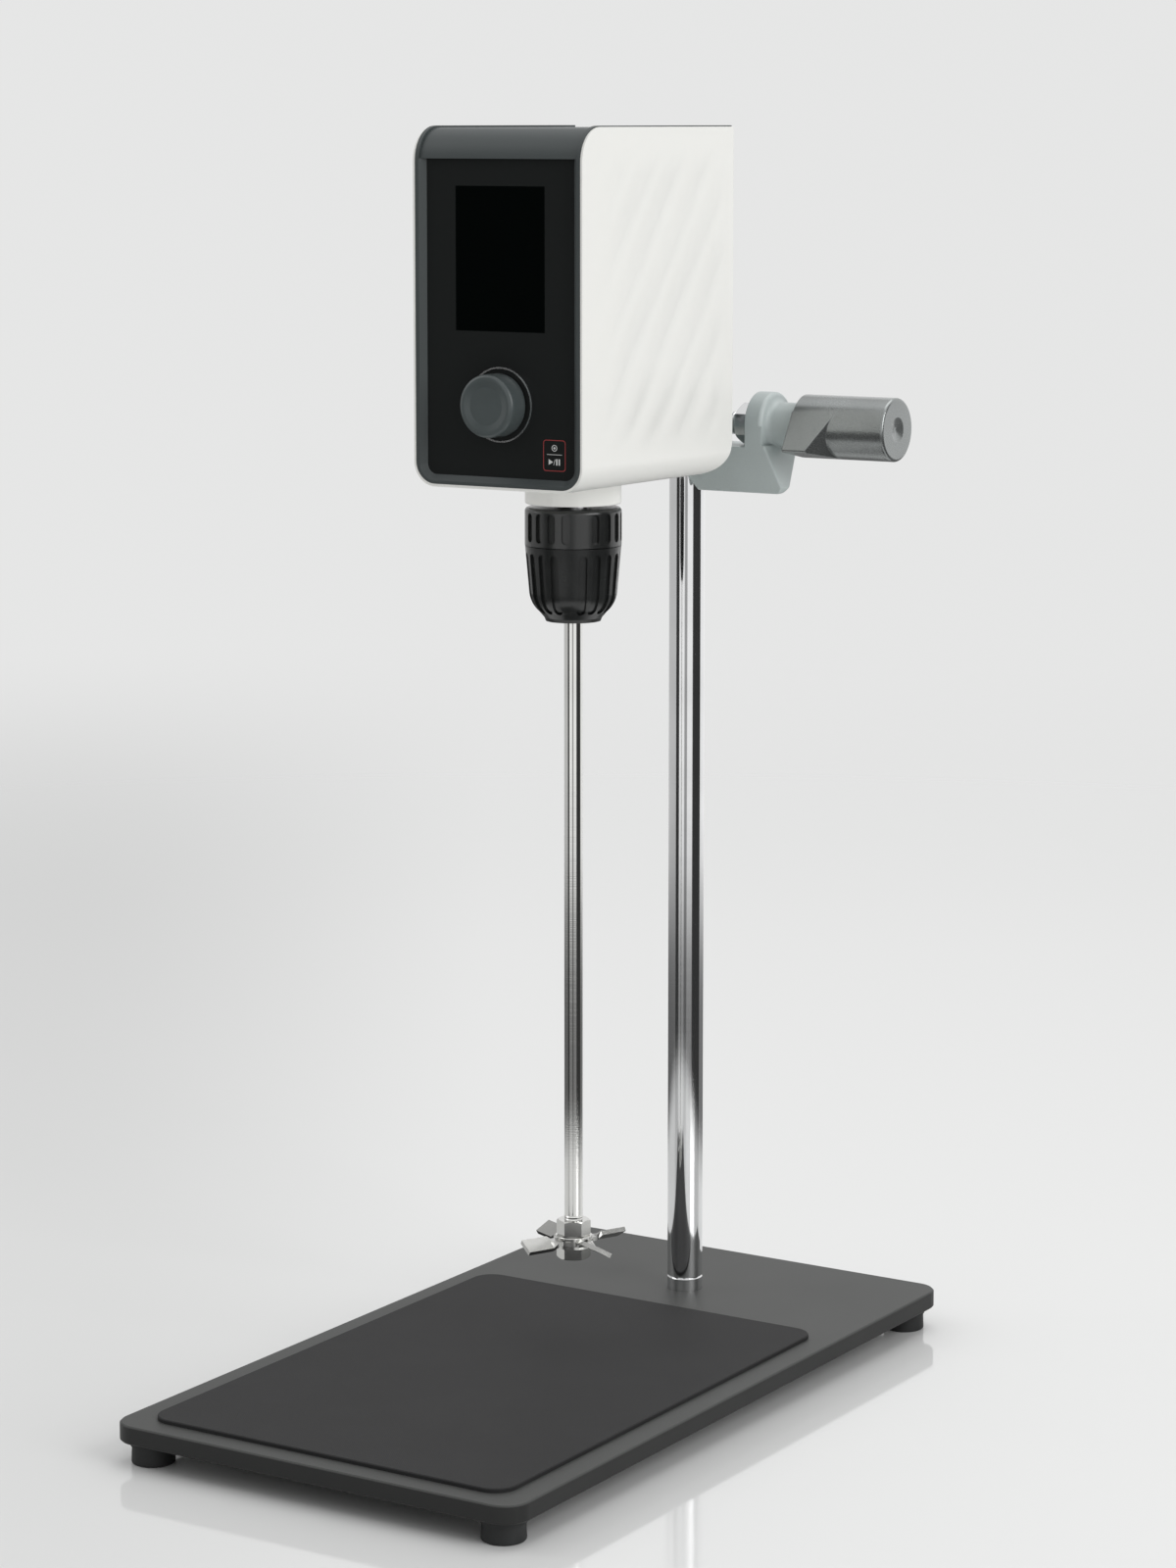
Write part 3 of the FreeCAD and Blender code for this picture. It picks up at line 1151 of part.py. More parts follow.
rocker = piece("switch_rocker", "switch_x", "head_front+head_deep", "head_low+inlet_z")
rocker.setExpression("Placement.Rotation.Roll", fx("rocker_tilt"))
extrude(rocker, "Pad", "YZ", "0", [[
    ("-rocker_belly", "0"), ("-rocker_flank", "-rocker_reach"), ("rocker_crown", "-rocker_reach"),
    ("rocker_valley", "0"), ("rocker_crown", "rocker_reach"), ("-rocker_flank", "rocker_reach")]],
    "(rocker_room_half-rocker_gap)*2", both=True)

# ======================= spindle and chuck =======================
rotor = axis_piece("motor_rotor", base_top)
extrude(rotor, "Pad", "XY", "rotor_low", [
    ("ring", "0", "0", "rotor_r"), ("ring", "0", "0", "spindle_core_r+rotor_gap")], "rotor_high-rotor_low")
spindle = axis_piece("spindle")
turned(spindle, "Revolution", "XZ", "V_Axis", [
    ("0", "spindle_thread_low"), ("spindle_thread_r", "spindle_thread_low"),
    ("spindle_thread_r", "spindle_show_low"), ("spindle_r", "spindle_show_low"),
    ("spindle_r", "spindle_show_top"), ("spindle_mid_r", "spindle_show_top"),
    ("spindle_mid_r", "spindle_mid_top"), ("spindle_core_r", "spindle_mid_top"),
    ("spindle_core_r", "base_low+base_thick+can_high-can_lid"),
    ("spindle_top_r", "base_low+base_thick+can_high-can_lid"), ("spindle_top_r", "spindle_core_top"),
    ("0", "spindle_core_top")])
flats = [box("-spindle_r", side + "(spindle_r-flat_deep)", "spindle_r", side + "(spindle_r+run_past)")
         for side in ("0+", "-")]
extrude(spindle, "Pocket", "XY", "-collar_high", flats, "-spindle_show_low-collar_high")


def chuck_piece(label):
    return piece(label, "0", "spindle_y", "chuck_z")


heart = chuck_piece("chuck_body")
turned(heart, "Revolution", "XZ", "V_Axis", [
    ("core_bore_r", "-core_nose"), ("core_nose_r", "-core_nose"), ("core_r", "-core_straight"),
    ("core_r", "core_up"), ("spindle_thread_r+core_thread_gap", "core_up"),
    ("spindle_thread_r+core_thread_gap", "core_thread_low"), ("core_bore_r", "core_thread_low")])
for number in range(3):
    angle = "jaw_turn-120+" + str(120 * number)
    lean = heart.newObject("Sketcher::SketchObject", "chuck_bore_sketch")
    lean.MapMode = "FlatFace"
    ground = [item for item in heart.Origin.OriginFeatures if item.Role == "XY_Plane"][0]
    lean.AttachmentSupport = [(ground, "")]
    drop = "(jaw_foot_down+jaw_bore_past)"
    foot_at = "(jaw_foot_r-jaw_bore_past*tan(jaw_lean))"
    lean.setExpression("AttachmentOffset.Base.x", fx(foot_at + "*cos(" + angle + ")"))
    lean.setExpression("AttachmentOffset.Base.y", fx(foot_at + "*sin(" + angle + ")"))
    lean.setExpression("AttachmentOffset.Base.z", fx("-" + drop))
    lean.setExpression("AttachmentOffset.Rotation.Yaw", fx(angle))
    lean.setExpression("AttachmentOffset.Rotation.Pitch", fx("jaw_lean"))
    ring(lean, "0", "0", "jaw_r+jaw_bore_gap")
    doc.recompute()
    drilled = feature(heart, "Pocket", lean)
    drilled.setExpression("Length", fx("jaw_bore_long+jaw_bore_past"))
    drilled.Reversed = True
    heart.Tip = drilled

up_sleeve = chuck_piece("chuck_upper_sleeve")
up_sleeve.setExpression("Placement.Rotation.Yaw", fx("flute_turn_up"))
fit_r = "core_r+core_fit_gap"
turned(up_sleeve, "Revolution", "XZ", "V_Axis", [
    (fit_r, "chuck_seam_half"), ("chuck_r", "chuck_seam_half"), ("chuck_r", "chuck_up-chuck_edge_r"),
    ("chuck_r-chuck_edge_r", "chuck_up", "chuck_edge_r", 1), ("chuck_mouth_r", "chuck_up"),
    ("chuck_mouth_r", "core_up+core_fit_gap"), (fit_r, "core_up+core_fit_gap")])


def flute(body, floor_r, low, high):
    cut = extrude(body, "Pocket", "XZ", "flute_start_r", [
        rounded("-flute_half", low, "flute_half", high, "flute_end_r")], "flute_start_r-" + floor_r)
    axis = origin_axis(body, "Z_Axis")
    near_four = body.newObject("PartDesign::PolarPattern", body.Label + "_four")
    near_four.Axis = (axis, [""])
    near_four.setExpression("Angle", fx("flute_step"))
    near_four.Occurrences = 4
    around = body.newObject("PartDesign::PolarPattern", body.Label + "_around")
    around.Axis = (axis, [""])
    around.Angle = 360
    around.Occurrences = 4
    repeat(body, "MultiTransform", [cut], {"Transformations": [near_four, around]})


flute(up_sleeve, "flute_floor_r", "flute_low", "flute_high")


# The lower sleeve's section, with its outside moved in by sunk.
def hem(sunk):
    return [
        ("hem_in_r", "-chuck_down"), ("hem_low_r-hem_break-" + sunk, "-chuck_down"),
        ("hem_low_r-" + sunk, "-hem_low_down"), ("hem_cone_r-" + sunk, "-hem_cone_down"),
        ("hem_bend_r-" + sunk, "-hem_bend_down", "hem_curve_r-" + sunk, 1),
        ("hem_r-" + sunk, "-chuck_seam_half"), (core_room, "-chuck_seam_half"), (core_room, "-core_straight"),
        ("hem_in_r", "-hem_mouth_down")]


core_room = "core_r+core_sleeve_gap"
low_sleeve = chuck_piece("chuck_lower_sleeve")
low_sleeve.setExpression("Placement.Rotation.Yaw", fx("flute_turn_low"))
turned(low_sleeve, "Revolution", "XZ", "V_Axis", hem("0"))
flute(low_sleeve, "hem_in_r", "-hem_flute_low", "-hem_flute_top")
# The flutes' floor runs parallel to the outside.
turned(low_sleeve, "Revolution", "XZ", "V_Axis", hem("flute_deep"))

for number in range(3):
    angle = "(jaw_turn-120+" + str(120 * number) + ")"
    jaw = piece("jaw_" + str(number + 1), "jaw_foot_r*cos(" + angle + ")",
                "spindle_y+jaw_foot_r*sin(" + angle + ")", "chuck_z-jaw_foot_down")
    jaw.setExpression("Placement.Rotation.Yaw", fx(angle))
    jaw.setExpression("Placement.Rotation.Pitch", fx("jaw_lean"))
    extrude(jaw, "Pad", "XY", "0", [("ring", "0", "0", "jaw_r")], "jaw_long")
    soften(jaw, "Chamfer", "jaw_break", lambda b: flat_at(b, "Z", "0") or flat_at(b, "Z", "jaw_long"))
    reach = "(rod_r+jaw_grip_gap-jaw_foot_r)"
    foot_cut = reach + "/cos(jaw_lean)+jaw_bore_past*tan(jaw_lean)"
    top_cut = reach + "/cos(jaw_lean)-jaw_long*tan(jaw_lean)"
    extrude(jaw, "Pocket", "XZ", "0", [[
        (foot_cut, "-jaw_bore_past"), (top_cut, "jaw_long"), ("-jaw_long", "jaw_long"),
        ("-jaw_long", "-jaw_bore_past")]], "(jaw_r+run_past)*2", both=True)

# ======================= stirring shaft and agitator =======================
rod = piece("stirring_shaft", y="spindle_y", z="rod_low")
turned(rod, "Revolution", "XZ", "V_Axis", [
    ("0", "0"), ("rod_r-rod_break", "0"), ("rod_r", "rod_break"), ("rod_r", "rod_long-rod_break"),
    ("rod_r-rod_break", "rod_long"), ("0", "rod_long")])


def small_nut(label, z, high):
    made = piece(label, y="spindle_y", z=z)
    tip = "small_flats/sqrt(3)"
    extrude(made, "Pad", "XY", "0", [hexagon("small_flats")], high)
    for end, step, past in (("0", "0+", "-run_past"), (high, "-", "+run_past")):
        shy = end + step + "small_bevel*tan(30)"
        turned(made, "Groove", "XZ", "V_Axis", [
            (tip + "-small_bevel", end), (tip + "+bevel_past", shy), (tip + "+run_past", shy),
            (tip + "+run_past", end + past), (tip + "-small_bevel", end + past)])
    extrude(made, "Pocket", "XY", "-run_past", [("ring", "0", "0", "rod_r+small_gap")],
            high + "+run_past*2", back=True)


def washer(label, z):
    made = piece(label, y="spindle_y", z=z)
    turned(made, "Revolution", "XZ", "V_Axis", [
        ("rod_r+small_gap*2", "0"), ("washer_r", "0"), ("washer_r", "washer_thick-washer_break"),
        ("washer_r-washer_break", "washer_thick"), ("rod_r+small_gap*2", "washer_thick")])


blade_z = "low_nut_z+low_nut_high+washer_thick"
small_nut("lower_nut", "low_nut_z", "low_nut_high")
washer("lower_washer", "low_nut_z+low_nut_high")
washer("upper_washer", blade_z + "+blade_thick")
small_nut("upper_nut", blade_z + "+blade_thick+washer_thick", "top_nut_high")

blades = piece("propeller", y="spindle_y", z=blade_z + "+blade_thick/2")
blades.setExpression("Placement.Rotation.Yaw", fx("blade_turn"))
extrude(blades, "Pad", "XY", "-blade_thick/2", [("ring", "0", "0", "blade_hub_r")], "blade_thick")
arm = extrude(blades, "Pad", "YZ", "blade_flat_r/2", [even("blade_half", "blade_thick/2")],
              "blade_flat_r/2")


def tilted(cant):
    spots = []
    for across, up in (("-", "-"), ("+", "-"), ("+", "+"), ("-", "+")):
        fall = "-" if across == "+" else "+"
        spots.append(("0" + across + "blade_half*cos(" + cant + ")" + up + "blade_thick/2*sin(" + cant + ")",
                      "0" + fall + "blade_half*sin(" + cant + ")" + up + "blade_thick/2*cos(" + cant + ")"))
    return spots


root_end = sketch(blades, "YZ", "blade_flat_r", [tilted("0")])
bend_end = sketch(blades, "YZ", "blade_bend_r", [tilted("blade_pitch")])
twist = feature(blades, "AdditiveLoft", root_end)
twist.Sections = [bend_end]
blades.Tip = twist
vane = extrude(blades, "Pad", "YZ", "blade_bend_r", [tilted("blade_pitch")], "blade_r-blade_bend_r")
repeat(blades, "PolarPattern", [arm, twist, vane], {"Axis": (origin_axis(blades, "Z_Axis"), [""]),
                                                    "Angle": 360, "Occurrences": 4})
extrude(blades, "Pocket", "XY", "-blade_thick", [("ring", "0", "0", "rod_r+small_gap*2")],
        "blade_thick*2", back=True)

# ======================= check and export =======================
doc.recompute()
for item in doc.Objects:
    if "Invalid" in item.State or "Error" in item.State:
        raise RuntimeError(item.Label + " did not build")
for body in pieces:
    if body.Shape.isNull() or not body.Shape.isValid() or len(body.Shape.Solids) != 1:
        raise RuntimeError(body.Label + " is not one valid solid")
    body.Shape.exportStep("parts/" + body.Label + ".step")
print(len(pieces), "pieces saved")
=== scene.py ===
import math

import bmesh
import bpy
from mathutils import Matrix, Vector


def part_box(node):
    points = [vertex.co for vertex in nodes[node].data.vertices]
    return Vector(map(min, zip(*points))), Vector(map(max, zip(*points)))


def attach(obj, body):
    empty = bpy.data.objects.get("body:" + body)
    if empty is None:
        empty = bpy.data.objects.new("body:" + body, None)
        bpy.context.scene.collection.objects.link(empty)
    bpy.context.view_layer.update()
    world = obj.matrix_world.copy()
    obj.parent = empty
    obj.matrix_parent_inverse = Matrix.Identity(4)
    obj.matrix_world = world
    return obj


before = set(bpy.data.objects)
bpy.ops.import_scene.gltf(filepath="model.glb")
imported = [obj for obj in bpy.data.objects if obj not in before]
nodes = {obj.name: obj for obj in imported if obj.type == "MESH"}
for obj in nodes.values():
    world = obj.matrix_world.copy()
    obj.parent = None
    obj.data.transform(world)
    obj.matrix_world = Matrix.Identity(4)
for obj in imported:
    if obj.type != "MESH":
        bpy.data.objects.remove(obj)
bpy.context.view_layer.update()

mm = 0.001
print("frame loaded,", len(nodes), "nodes")


# A socket that can be added, multiplied and compared like a number.
class Wire:
    def __init__(self, shader, socket):
        self.shader = shader
        self.socket = socket

    def maths(self, operation, *others):
        return self.shader.node("ShaderNodeMath", {"operation": operation}, [self, *others])

    def __add__(self, other):
        return self.maths("ADD", other)

    def __mul__(self, other):
        return self.maths("MULTIPLY", other)

    def __sub__(self, other):
        return self.maths("SUBTRACT", other)

    def __pow__(self, other):
        return self.maths("POWER", other)

    def __rsub__(self, other):
        return self * -1 + other

    def __abs__(self):
        return self.maths("ABSOLUTE")

    def __lt__(self, other):
        return self.maths("LESS_THAN", other)

    def __gt__(self, other):
        return self.maths("GREATER_THAN", other)

    def least(self, other):
        return self.maths("MINIMUM", other)

    def most(self, other):
        return self.maths("MAXIMUM", other)

    def sine(self):
        return self.maths("SINE")

    def floor(self):
        return self.maths("FLOOR")

    def wrap(self, span):
        return self.maths("FLOORED_MODULO", span)

    # 0 at the first value and 1 at the second, with a smooth step between them.
    def soft(self, zeroAt, oneAt):
        return self.shader.node("ShaderNodeMapRange", {"interpolation_type": "SMOOTHSTEP"},
                                {"Value": self, "From Min": zeroAt, "From Max": oneAt})

    __radd__ = __add__
    __rmul__ = __mul__


# A tree of shader nodes: each node goes in through the one method node.
class Shader:
    def __init__(self, tree):
        self.tree = tree

    def node(self, kind, settings=None, inputs=None, output=0):
        made = self.tree.nodes.new(kind)
        for name, value in (settings or {}).items():
            setattr(made, name, value)
        pairs = inputs.items() if isinstance(inputs, dict) else enumerate(inputs or [])
        for key, value in pairs:
            self.feed(made.inputs[key], value)
        return Wire(self, made.outputs[output])

    def feed(self, socket, value):
        if isinstance(value, Wire):
            self.tree.links.new(value.socket, socket)
        elif socket.type == "RGBA" and len(value) == 3:
            socket.default_value = (*value, 1)
        else:
            socket.default_value = value

    def axes(self, place):
        split = self.node("ShaderNodeSeparateXYZ", inputs=[place])
        return [Wire(self, socket) for socket in split.socket.node.outputs]

    def blend(self, amount, first, second):
        mixed = self.node("ShaderNodeMix", {"data_type": "RGBA"}).socket.node
        self.feed(mixed.inputs["Factor"], amount)
        colours = [socket for socket in mixed.inputs if socket.type == "RGBA"]
        self.feed(colours[0], first)
        self.feed(colours[1], second)
        return Wire(self, next(socket for socket in mixed.outputs if socket.type == "RGBA"))


# One procedural material on the part's own coordinates.
class Paint(Shader):
    def __init__(self, name, **sockets):
        self.material = bpy.data.materials.new(name)
        self.material.use_nodes = True
        super().__init__(self.material.node_tree)
        self.surface = self.tree.nodes["Principled BSDF"]
        for socket, value in sockets.items():
            self.give(socket.replace("_", " "), value)

    def give(self, socket, value):
        self.feed(self.surface.inputs[socket], value)

    def place(self):
        return self.node("ShaderNodeTexCoord", output="Object")

    def coordinates(self):
        return self.axes(self.place())

    def noise(self, scale, detail, place=None):
        inputs = {"Vector": place or self.place(), "Scale": scale, "Detail": detail}
        return self.node("ShaderNodeTexNoise", {}, inputs, "Fac")

    # Noise drawn out along the axes that have a low scale.
    def streaks(self, scale, detail, turn=(0, 0, 0)):
        inputs = {"Vector": self.place(), "Rotation": turn, "Scale": scale}
        stretched = self.node("ShaderNodeMapping", {}, inputs)
        return self.noise(1, detail, stretched)

    def cells(self, scale):
        return self.node("ShaderNodeTexVoronoi", {}, {"Vector": self.place(), "Scale": scale}, "Distance")

    def softEdges(self, radius):
        return self.node("ShaderNodeBevel", {"samples": 6}, {"Radius": radius})

    def bump(self, height, strength, distance, below=None):
        inputs = {"Height": height, "Strength": strength, "Distance": distance}
        if below:
            inputs["Normal"] = below
        made = self.node("ShaderNodeBump", {}, inputs)
        self.give("Normal", made)
        return made


def shade(colour, amount):
    return tuple(part * amount for part in colour)


def dress(paint, *names):
    for name in names:
        nodes[name].data.materials.clear()
        nodes[name].data.materials.append(paint.material)


# Powder coat and enamel: a fine grain over slow clouds of tone, and, where a rim is given, painted shade
# that darkens the sides below it.
coatFinish = {"specular": 0.5, "clouds": 22, "dark": 0.93, "light": 1.07, "speckle": 0.35, "speck": 1.35,
              "spread": 0.12, "grainShare": 0.8, "relief": 0.28, "deep": 0.12 * mm}


def powderCoat(name, look):
    look = {**coatFinish, **look}
    colour, spread, share = look["colour"], look["spread"], look["grainShare"]
    paint = Paint(name, Specular_IOR_Level=look["specular"])
    cloud = paint.noise(look["clouds"], 4)
    grain = paint.noise(look["grain"], 2)
    tone = paint.blend(cloud.soft(0.3, 0.7), shade(colour, look["dark"]), shade(colour, look["light"]))
    tone = paint.blend(grain.soft(0.35, 0.75) * look["speckle"], tone, shade(colour, look["speck"]))
    # Painted shade: below the rim height the colour is darkened, for sides turned away from the light.
    if "rim" in look:
        x, y, z = paint.coordinates()
        inPaintedShade = z.soft(look["rim"], look["rim"] - look["rimSoft"])
        tone = paint.blend(inPaintedShade, tone, shade(colour, look["rimPaintedShade"]))
    paint.give("Base Color", tone)
    evenOut = look["rough"] - spread * (1 + share) / 2
    paint.give("Roughness", (cloud + grain * share) * spread + evenOut)
    worn = paint.softEdges(look["edge"]) if "edge" in look else None
    paint.bump(grain, look["relief"], look["deep"], worn)
    return paint


# The plate's sides get painted shade under the rim, as they face away from the lamps.
plateLook = {"colour": (0.050, 0.052, 0.050), "specular": 0.4, "grain": 2600, "rough": 0.52,
             "rim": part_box("base_plate")[1].z - 0.2 * mm, "rimSoft": 0.6 * mm, "rimPaintedShade": 0.22}
dress(powderCoat("plate coat", plateLook), "base_plate")

# Mat: woven rubber with dust in it and a few flecks of lint.
matLook = {"colour": (0.026, 0.026, 0.0265), "specular": 0.2, "rough": 0.62, "spread": 0.12,
           "rib": 1.1 * mm, "ribHigh": 0.25,
           "dust": 35, "clean": 0.92, "dusty": 1.16, "grain": 1500, "speckle": 0.3, "speck": 2.0,
           "lint": (0.16, 0.16, 0.16), "lintSpread": 85, "lintSize": 0.022, "lintPatch": 9, "lintShow": 0.5,
           "relief": 0.35, "deep": 0.12 * mm}


def wovenMat(name, look):
    paint = Paint(name, Specular_IOR_Level=look["specular"])
    across, along, up = paint.coordinates()
    turns = math.tau / look["rib"]
    ribs = (across * turns).sine() * (along * turns).sine()
    dust = paint.noise(look["dust"], 5)
    grain = paint.noise(look["grain"], 2)
    tone = paint.blend(dust.soft(0.35, 0.75), shade(look["colour"], look["clean"]),
                       shade(look["colour"], look["dusty"]))
    patches = paint.noise(look["lintPatch"], 2).soft(0.5, 0.62)
    lint = (paint.cells(look["lintSpread"]) < look["lintSize"]) * patches
    tone = paint.blend(grain.soft(0.55, 0.85) * look["speckle"], tone, shade(look["colour"], look["speck"]))
    paint.give("Base Color", paint.blend(lint * look["lintShow"], tone, look["lint"]))
    paint.give("Roughness", dust * look["spread"] + look["rough"])
    paint.bump(ribs * look["ribHigh"] + grain, look["relief"], look["deep"])
    return paint


dress(wovenMat("mat rubber", matLook), "rubber_mat")

# Feet: plain black rubber, dulled by dust.
footLook = {"colour": (0.018, 0.019, 0.019), "specular": 0.4, "rough": 0.58, "spread": 0.14, "dust": 60,
            "dusty": 1.7, "grain": 1900, "relief": 0.3, "deep": 0.15 * mm}


def footRubber(name, look):
    paint = Paint(name, Specular_IOR_Level=look["specular"])
    dust = paint.noise(look["dust"], 5)
    grain = paint.noise(look["grain"], 2)
    tone = paint.blend(dust.soft(0.45, 0.8), look["colour"], shade(look["colour"], look["dusty"]))
    paint.give("Base Color", tone)
    paint.give("Roughness", dust * look["spread"] + look["rough"])
    paint.bump(grain, look["relief"], look["deep"])
    return paint


dress(footRubber("foot rubber", footLook), "foot_front_left", "foot_front_right", "foot_rear_left",
      "foot_rear_right")

# Turned metal: fine lines across the axis that it was turned on, or a thread where a pitch is given.
metalFinish = {"spread": 0.05, "lines": 0.02, "fine": 2600, "drawn": 6, "smear": 45, "smearShade": 0.93,
               "smearSpread": 0.05, "sink": 0.03, "relief": 0.25, "deep": 0.05 * mm,
               "threadRelief": 0.9, "threadDeep": 0.45}


def turnedMetal(name, look, axis="Z", pitch=0, span=(0, 0)):
    look = {**metalFinish, **look}
    paint = Paint(name, Metallic=1)
    lines = paint.streaks([look["fine"] if letter == axis else look["drawn"] for letter in "XYZ"], 2)
    smear = paint.noise(look["smear"], 4)
    tone = paint.blend(smear.soft(0.3, 0.75), look["colour"], shade(look["colour"], look["smearShade"]))
    paint.give("Base Color", tone)
    wear = lines * look["spread"] + smear * look["smearSpread"]
    paint.give("Roughness", wear + (look["rough"] - look["sink"]))
    height = lines * look["lines"]
    if pitch:
        along = paint.coordinates()["XYZ".index(axis)]
        ridge = abs((along * (1 / pitch)).wrap(1) - 0.5) * 2
        threaded = (along > span[0]) * (along < span[1])
        paint.bump(height + ridge * threaded, look["threadRelief"], pitch * look["threadDeep"])
    else:
        paint.bump(height, look["relief"], look["deep"])
    return paint


chromeLook = {"colour": (0.78, 0.785, 0.79), "rough": 0.055}
steelLook = {"colour": (0.52, 0.53, 0.54), "rough": 0.26, "spread": 0.12, "lines": 0.1}
dress(turnedMetal("column chrome", chromeLook), "column_lower", "column_upper")
dress(turnedMetal("screw steel", steelLook, "Y"), "column_screw", "column_stud",
      "flange_screw_1", "flange_screw_2", "flange_screw_3", "flange_screw_4",
      "panel_screw_1", "panel_screw_2", "panel_screw_3", "panel_screw_4")
print("stand dressed")

# Clamp: pale grey casting, a darker metallic handle, bright nut and screw, brass shoe.
clampLook = {"colour": (0.45, 0.50, 0.495), "grain": 2300, "rough": 0.34, "speckle": 0.15, "relief": 0.1,
             "edge": 0.5 * mm}
handleLook = {"colour": (0.27, 0.285, 0.283), "grain": 3000, "rough": 0.27, "speckle": 0.05, "relief": 0.015,
              "spread": 0.03, "edge": 0.5 * mm, "metallic": 0.85, "lacquer": 0.25}
dress(powderCoat("clamp enamel", clampLook), "clamp_body")
handlePaint = powderCoat("handle enamel", handleLook)
handlePaint.give("Metallic", handleLook["metallic"])
handlePaint.give("Coat Weight", handleLook["lacquer"])
dress(handlePaint, "clamp_handle")

screwLook = {"colour": (0.72, 0.725, 0.73), "rough": 0.10, "pitch": 1.5 * mm, "plainEnd": 3 * mm}
brassLook = {"colour": (0.62, 0.46, 0.20), "rough": 0.24, "spread": 0.1}
screwThread = (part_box("clamp_screw")[0].x + screwLook["plainEnd"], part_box("clamp_handle")[0].x)
dress(turnedMetal("nut chrome", screwLook, "X"), "clamp_nut")
dress(turnedMetal("screw thread", screwLook, "X", screwLook["pitch"], screwThread), "clamp_screw")
dress(turnedMetal("turned brass", brassLook, "X"), "clamp_shoe")

# Moulded plastic: eggshell grain, with the tone drifting a little over each piece.
plasticFinish = {"specular": 0.5, "clouds": 16, "dark": 0.965, "light": 1.03, "spread": 0.08, "relief": 0.2,
                 "deep": 0.08 * mm}


def mouldedPlastic(name, look):
    look = {**plasticFinish, **look}
    paint = Paint(name, Specular_IOR_Level=look["specular"])
    cloud = paint.noise(look["clouds"], 4)
    grain = paint.noise(look["grain"], 3)
    tone = paint.blend(cloud.soft(0.3, 0.75), shade(look["colour"], look["dark"]),
                       shade(look["colour"], look["light"]))
    paint.give("Base Color", tone)
    paint.give("Roughness", (cloud + grain) * look["spread"] + (look["rough"] - look["spread"]))
    paint.bump(grain, look["relief"], look["deep"])
    return paint


nylonLook = {"colour": (0.70, 0.67, 0.60), "grain": 1300, "rough": 0.45}
dress(mouldedPlastic("natural nylon", nylonLook), "clamp_sleeve", "push_plunger")
print("clamp dressed")

# White housing: long slanting lens-shaped ripples in the sides fade out toward the edges, and darken the
# colour where they stand high, as painted shade.
shellLook = {"colour": (0.83, 0.83, 0.80), "rough": 0.30, "ripple": 17.5 * mm, "slant": 52, "lens": 110 * mm,
             "stagger": 41 * mm, "swell": 0.2, "sideFrom": 0.8 * mm, "sideTo": 0.1 * mm,
             "fadeFront": (6 * mm, 45 * mm), "fadeRear": (4 * mm, 18 * mm), "fadeLow": (12 * mm, 30 * mm),
             "fadeTop": (4 * mm, 20 * mm), "ripplePaintedShade": 0.955, "rippleRelief": 0.5, "rippleDeep": 2 * mm}
# Painted light: the collar is the housing's plastic, given a brighter white to stand in for the floor's
# bounce light under the head.
collarPaintedLightLook = {"colour": (0.90, 0.90, 0.87), "rough": 0.30}
whiteFinish = {"specular": 0.35, "coat": 0.05, "grain": 1500, "spread": 0.08, "relief": 0.12,
               "deep": 0.05 * mm}


def sideRipples(paint, look):
    x, y, z = paint.coordinates()
    low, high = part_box("side_shell")
    slant = math.radians(look["slant"])
    alongRib = y * math.cos(slant) + z * math.sin(slant)
    acrossRib = z * math.cos(slant) - y * math.sin(slant)
    row = (acrossRib * (1 / look["ripple"])).floor()
    lenses = ((alongRib + row * look["stagger"]) * (math.tau / look["lens"])).sine()
    swell = lenses * look["swell"] + (1 - look["swell"])
    ridge = (acrossRib * (math.tau / look["ripple"])).sine() * 0.5 + 0.5
    onSide = abs(x).soft(high.x - look["sideFrom"], high.x - look["sideTo"])
    inset = ((y - low.y).soft(*look["fadeFront"]) * (high.y - y).soft(*look["fadeRear"])
             * (z - low.z).soft(*look["fadeLow"]) * (high.z - z).soft(*look["fadeTop"]))
    return ridge * swell * onSide * inset


def whitePlastic(name, look, rippled=False):
    look = {**whiteFinish, **look}
    paint = Paint(name, Specular_IOR_Level=look["specular"], Coat_Weight=look["coat"])
    tone, below = look["colour"], None
    if rippled:
        ripples = sideRipples(paint, look)
        # Painted shade: the colour darkens with the ripple height, standing in for the shading of the
        # ripples.
        tone = paint.blend(ripples, tone, shade(tone, look["ripplePaintedShade"]))
        below = paint.bump(ripples, look["rippleRelief"], look["rippleDeep"])
    grain = paint.noise(look["grain"], 3)
    paint.bump(grain, look["relief"], look["deep"], below)
    paint.give("Base Color", tone)
    paint.give("Roughness", grain * look["spread"] + (look["rough"] - look["spread"] / 2))
    return paint


dress(whitePlastic("white housing", shellLook, True), "side_shell")
dress(whitePlastic("white collar painted light", collarPaintedLightLook), "spindle_collar")
slateLook = {"colour": (0.049, 0.059, 0.060), "grain": 2400, "rough": 0.44, "relief": 0.3}
dress(mouldedPlastic("slate plastic", slateLook), "front_cover", "back_panel")

# Black glass, with the darker and duller window of the screen in it.
glassLook = {"colour": (0.0165, 0.0180, 0.0178), "screen": (0.0014, 0.0022, 0.0020), "halfWide": 22 * mm,
             "low": 464.6 * mm, "high": 524.6 * mm, "edge": 0.3 * mm, "gloss": 0.26, "screenGloss": 0.02,
             "rough": 0.075, "screenRough": 0.105, "smear": 30, "smearSpread": 0.05, "specular": 0.04,
             "index": 1.5, "coatRough": 0.05, "wave": 300, "relief": 0.02, "deep": 0.02 * mm}


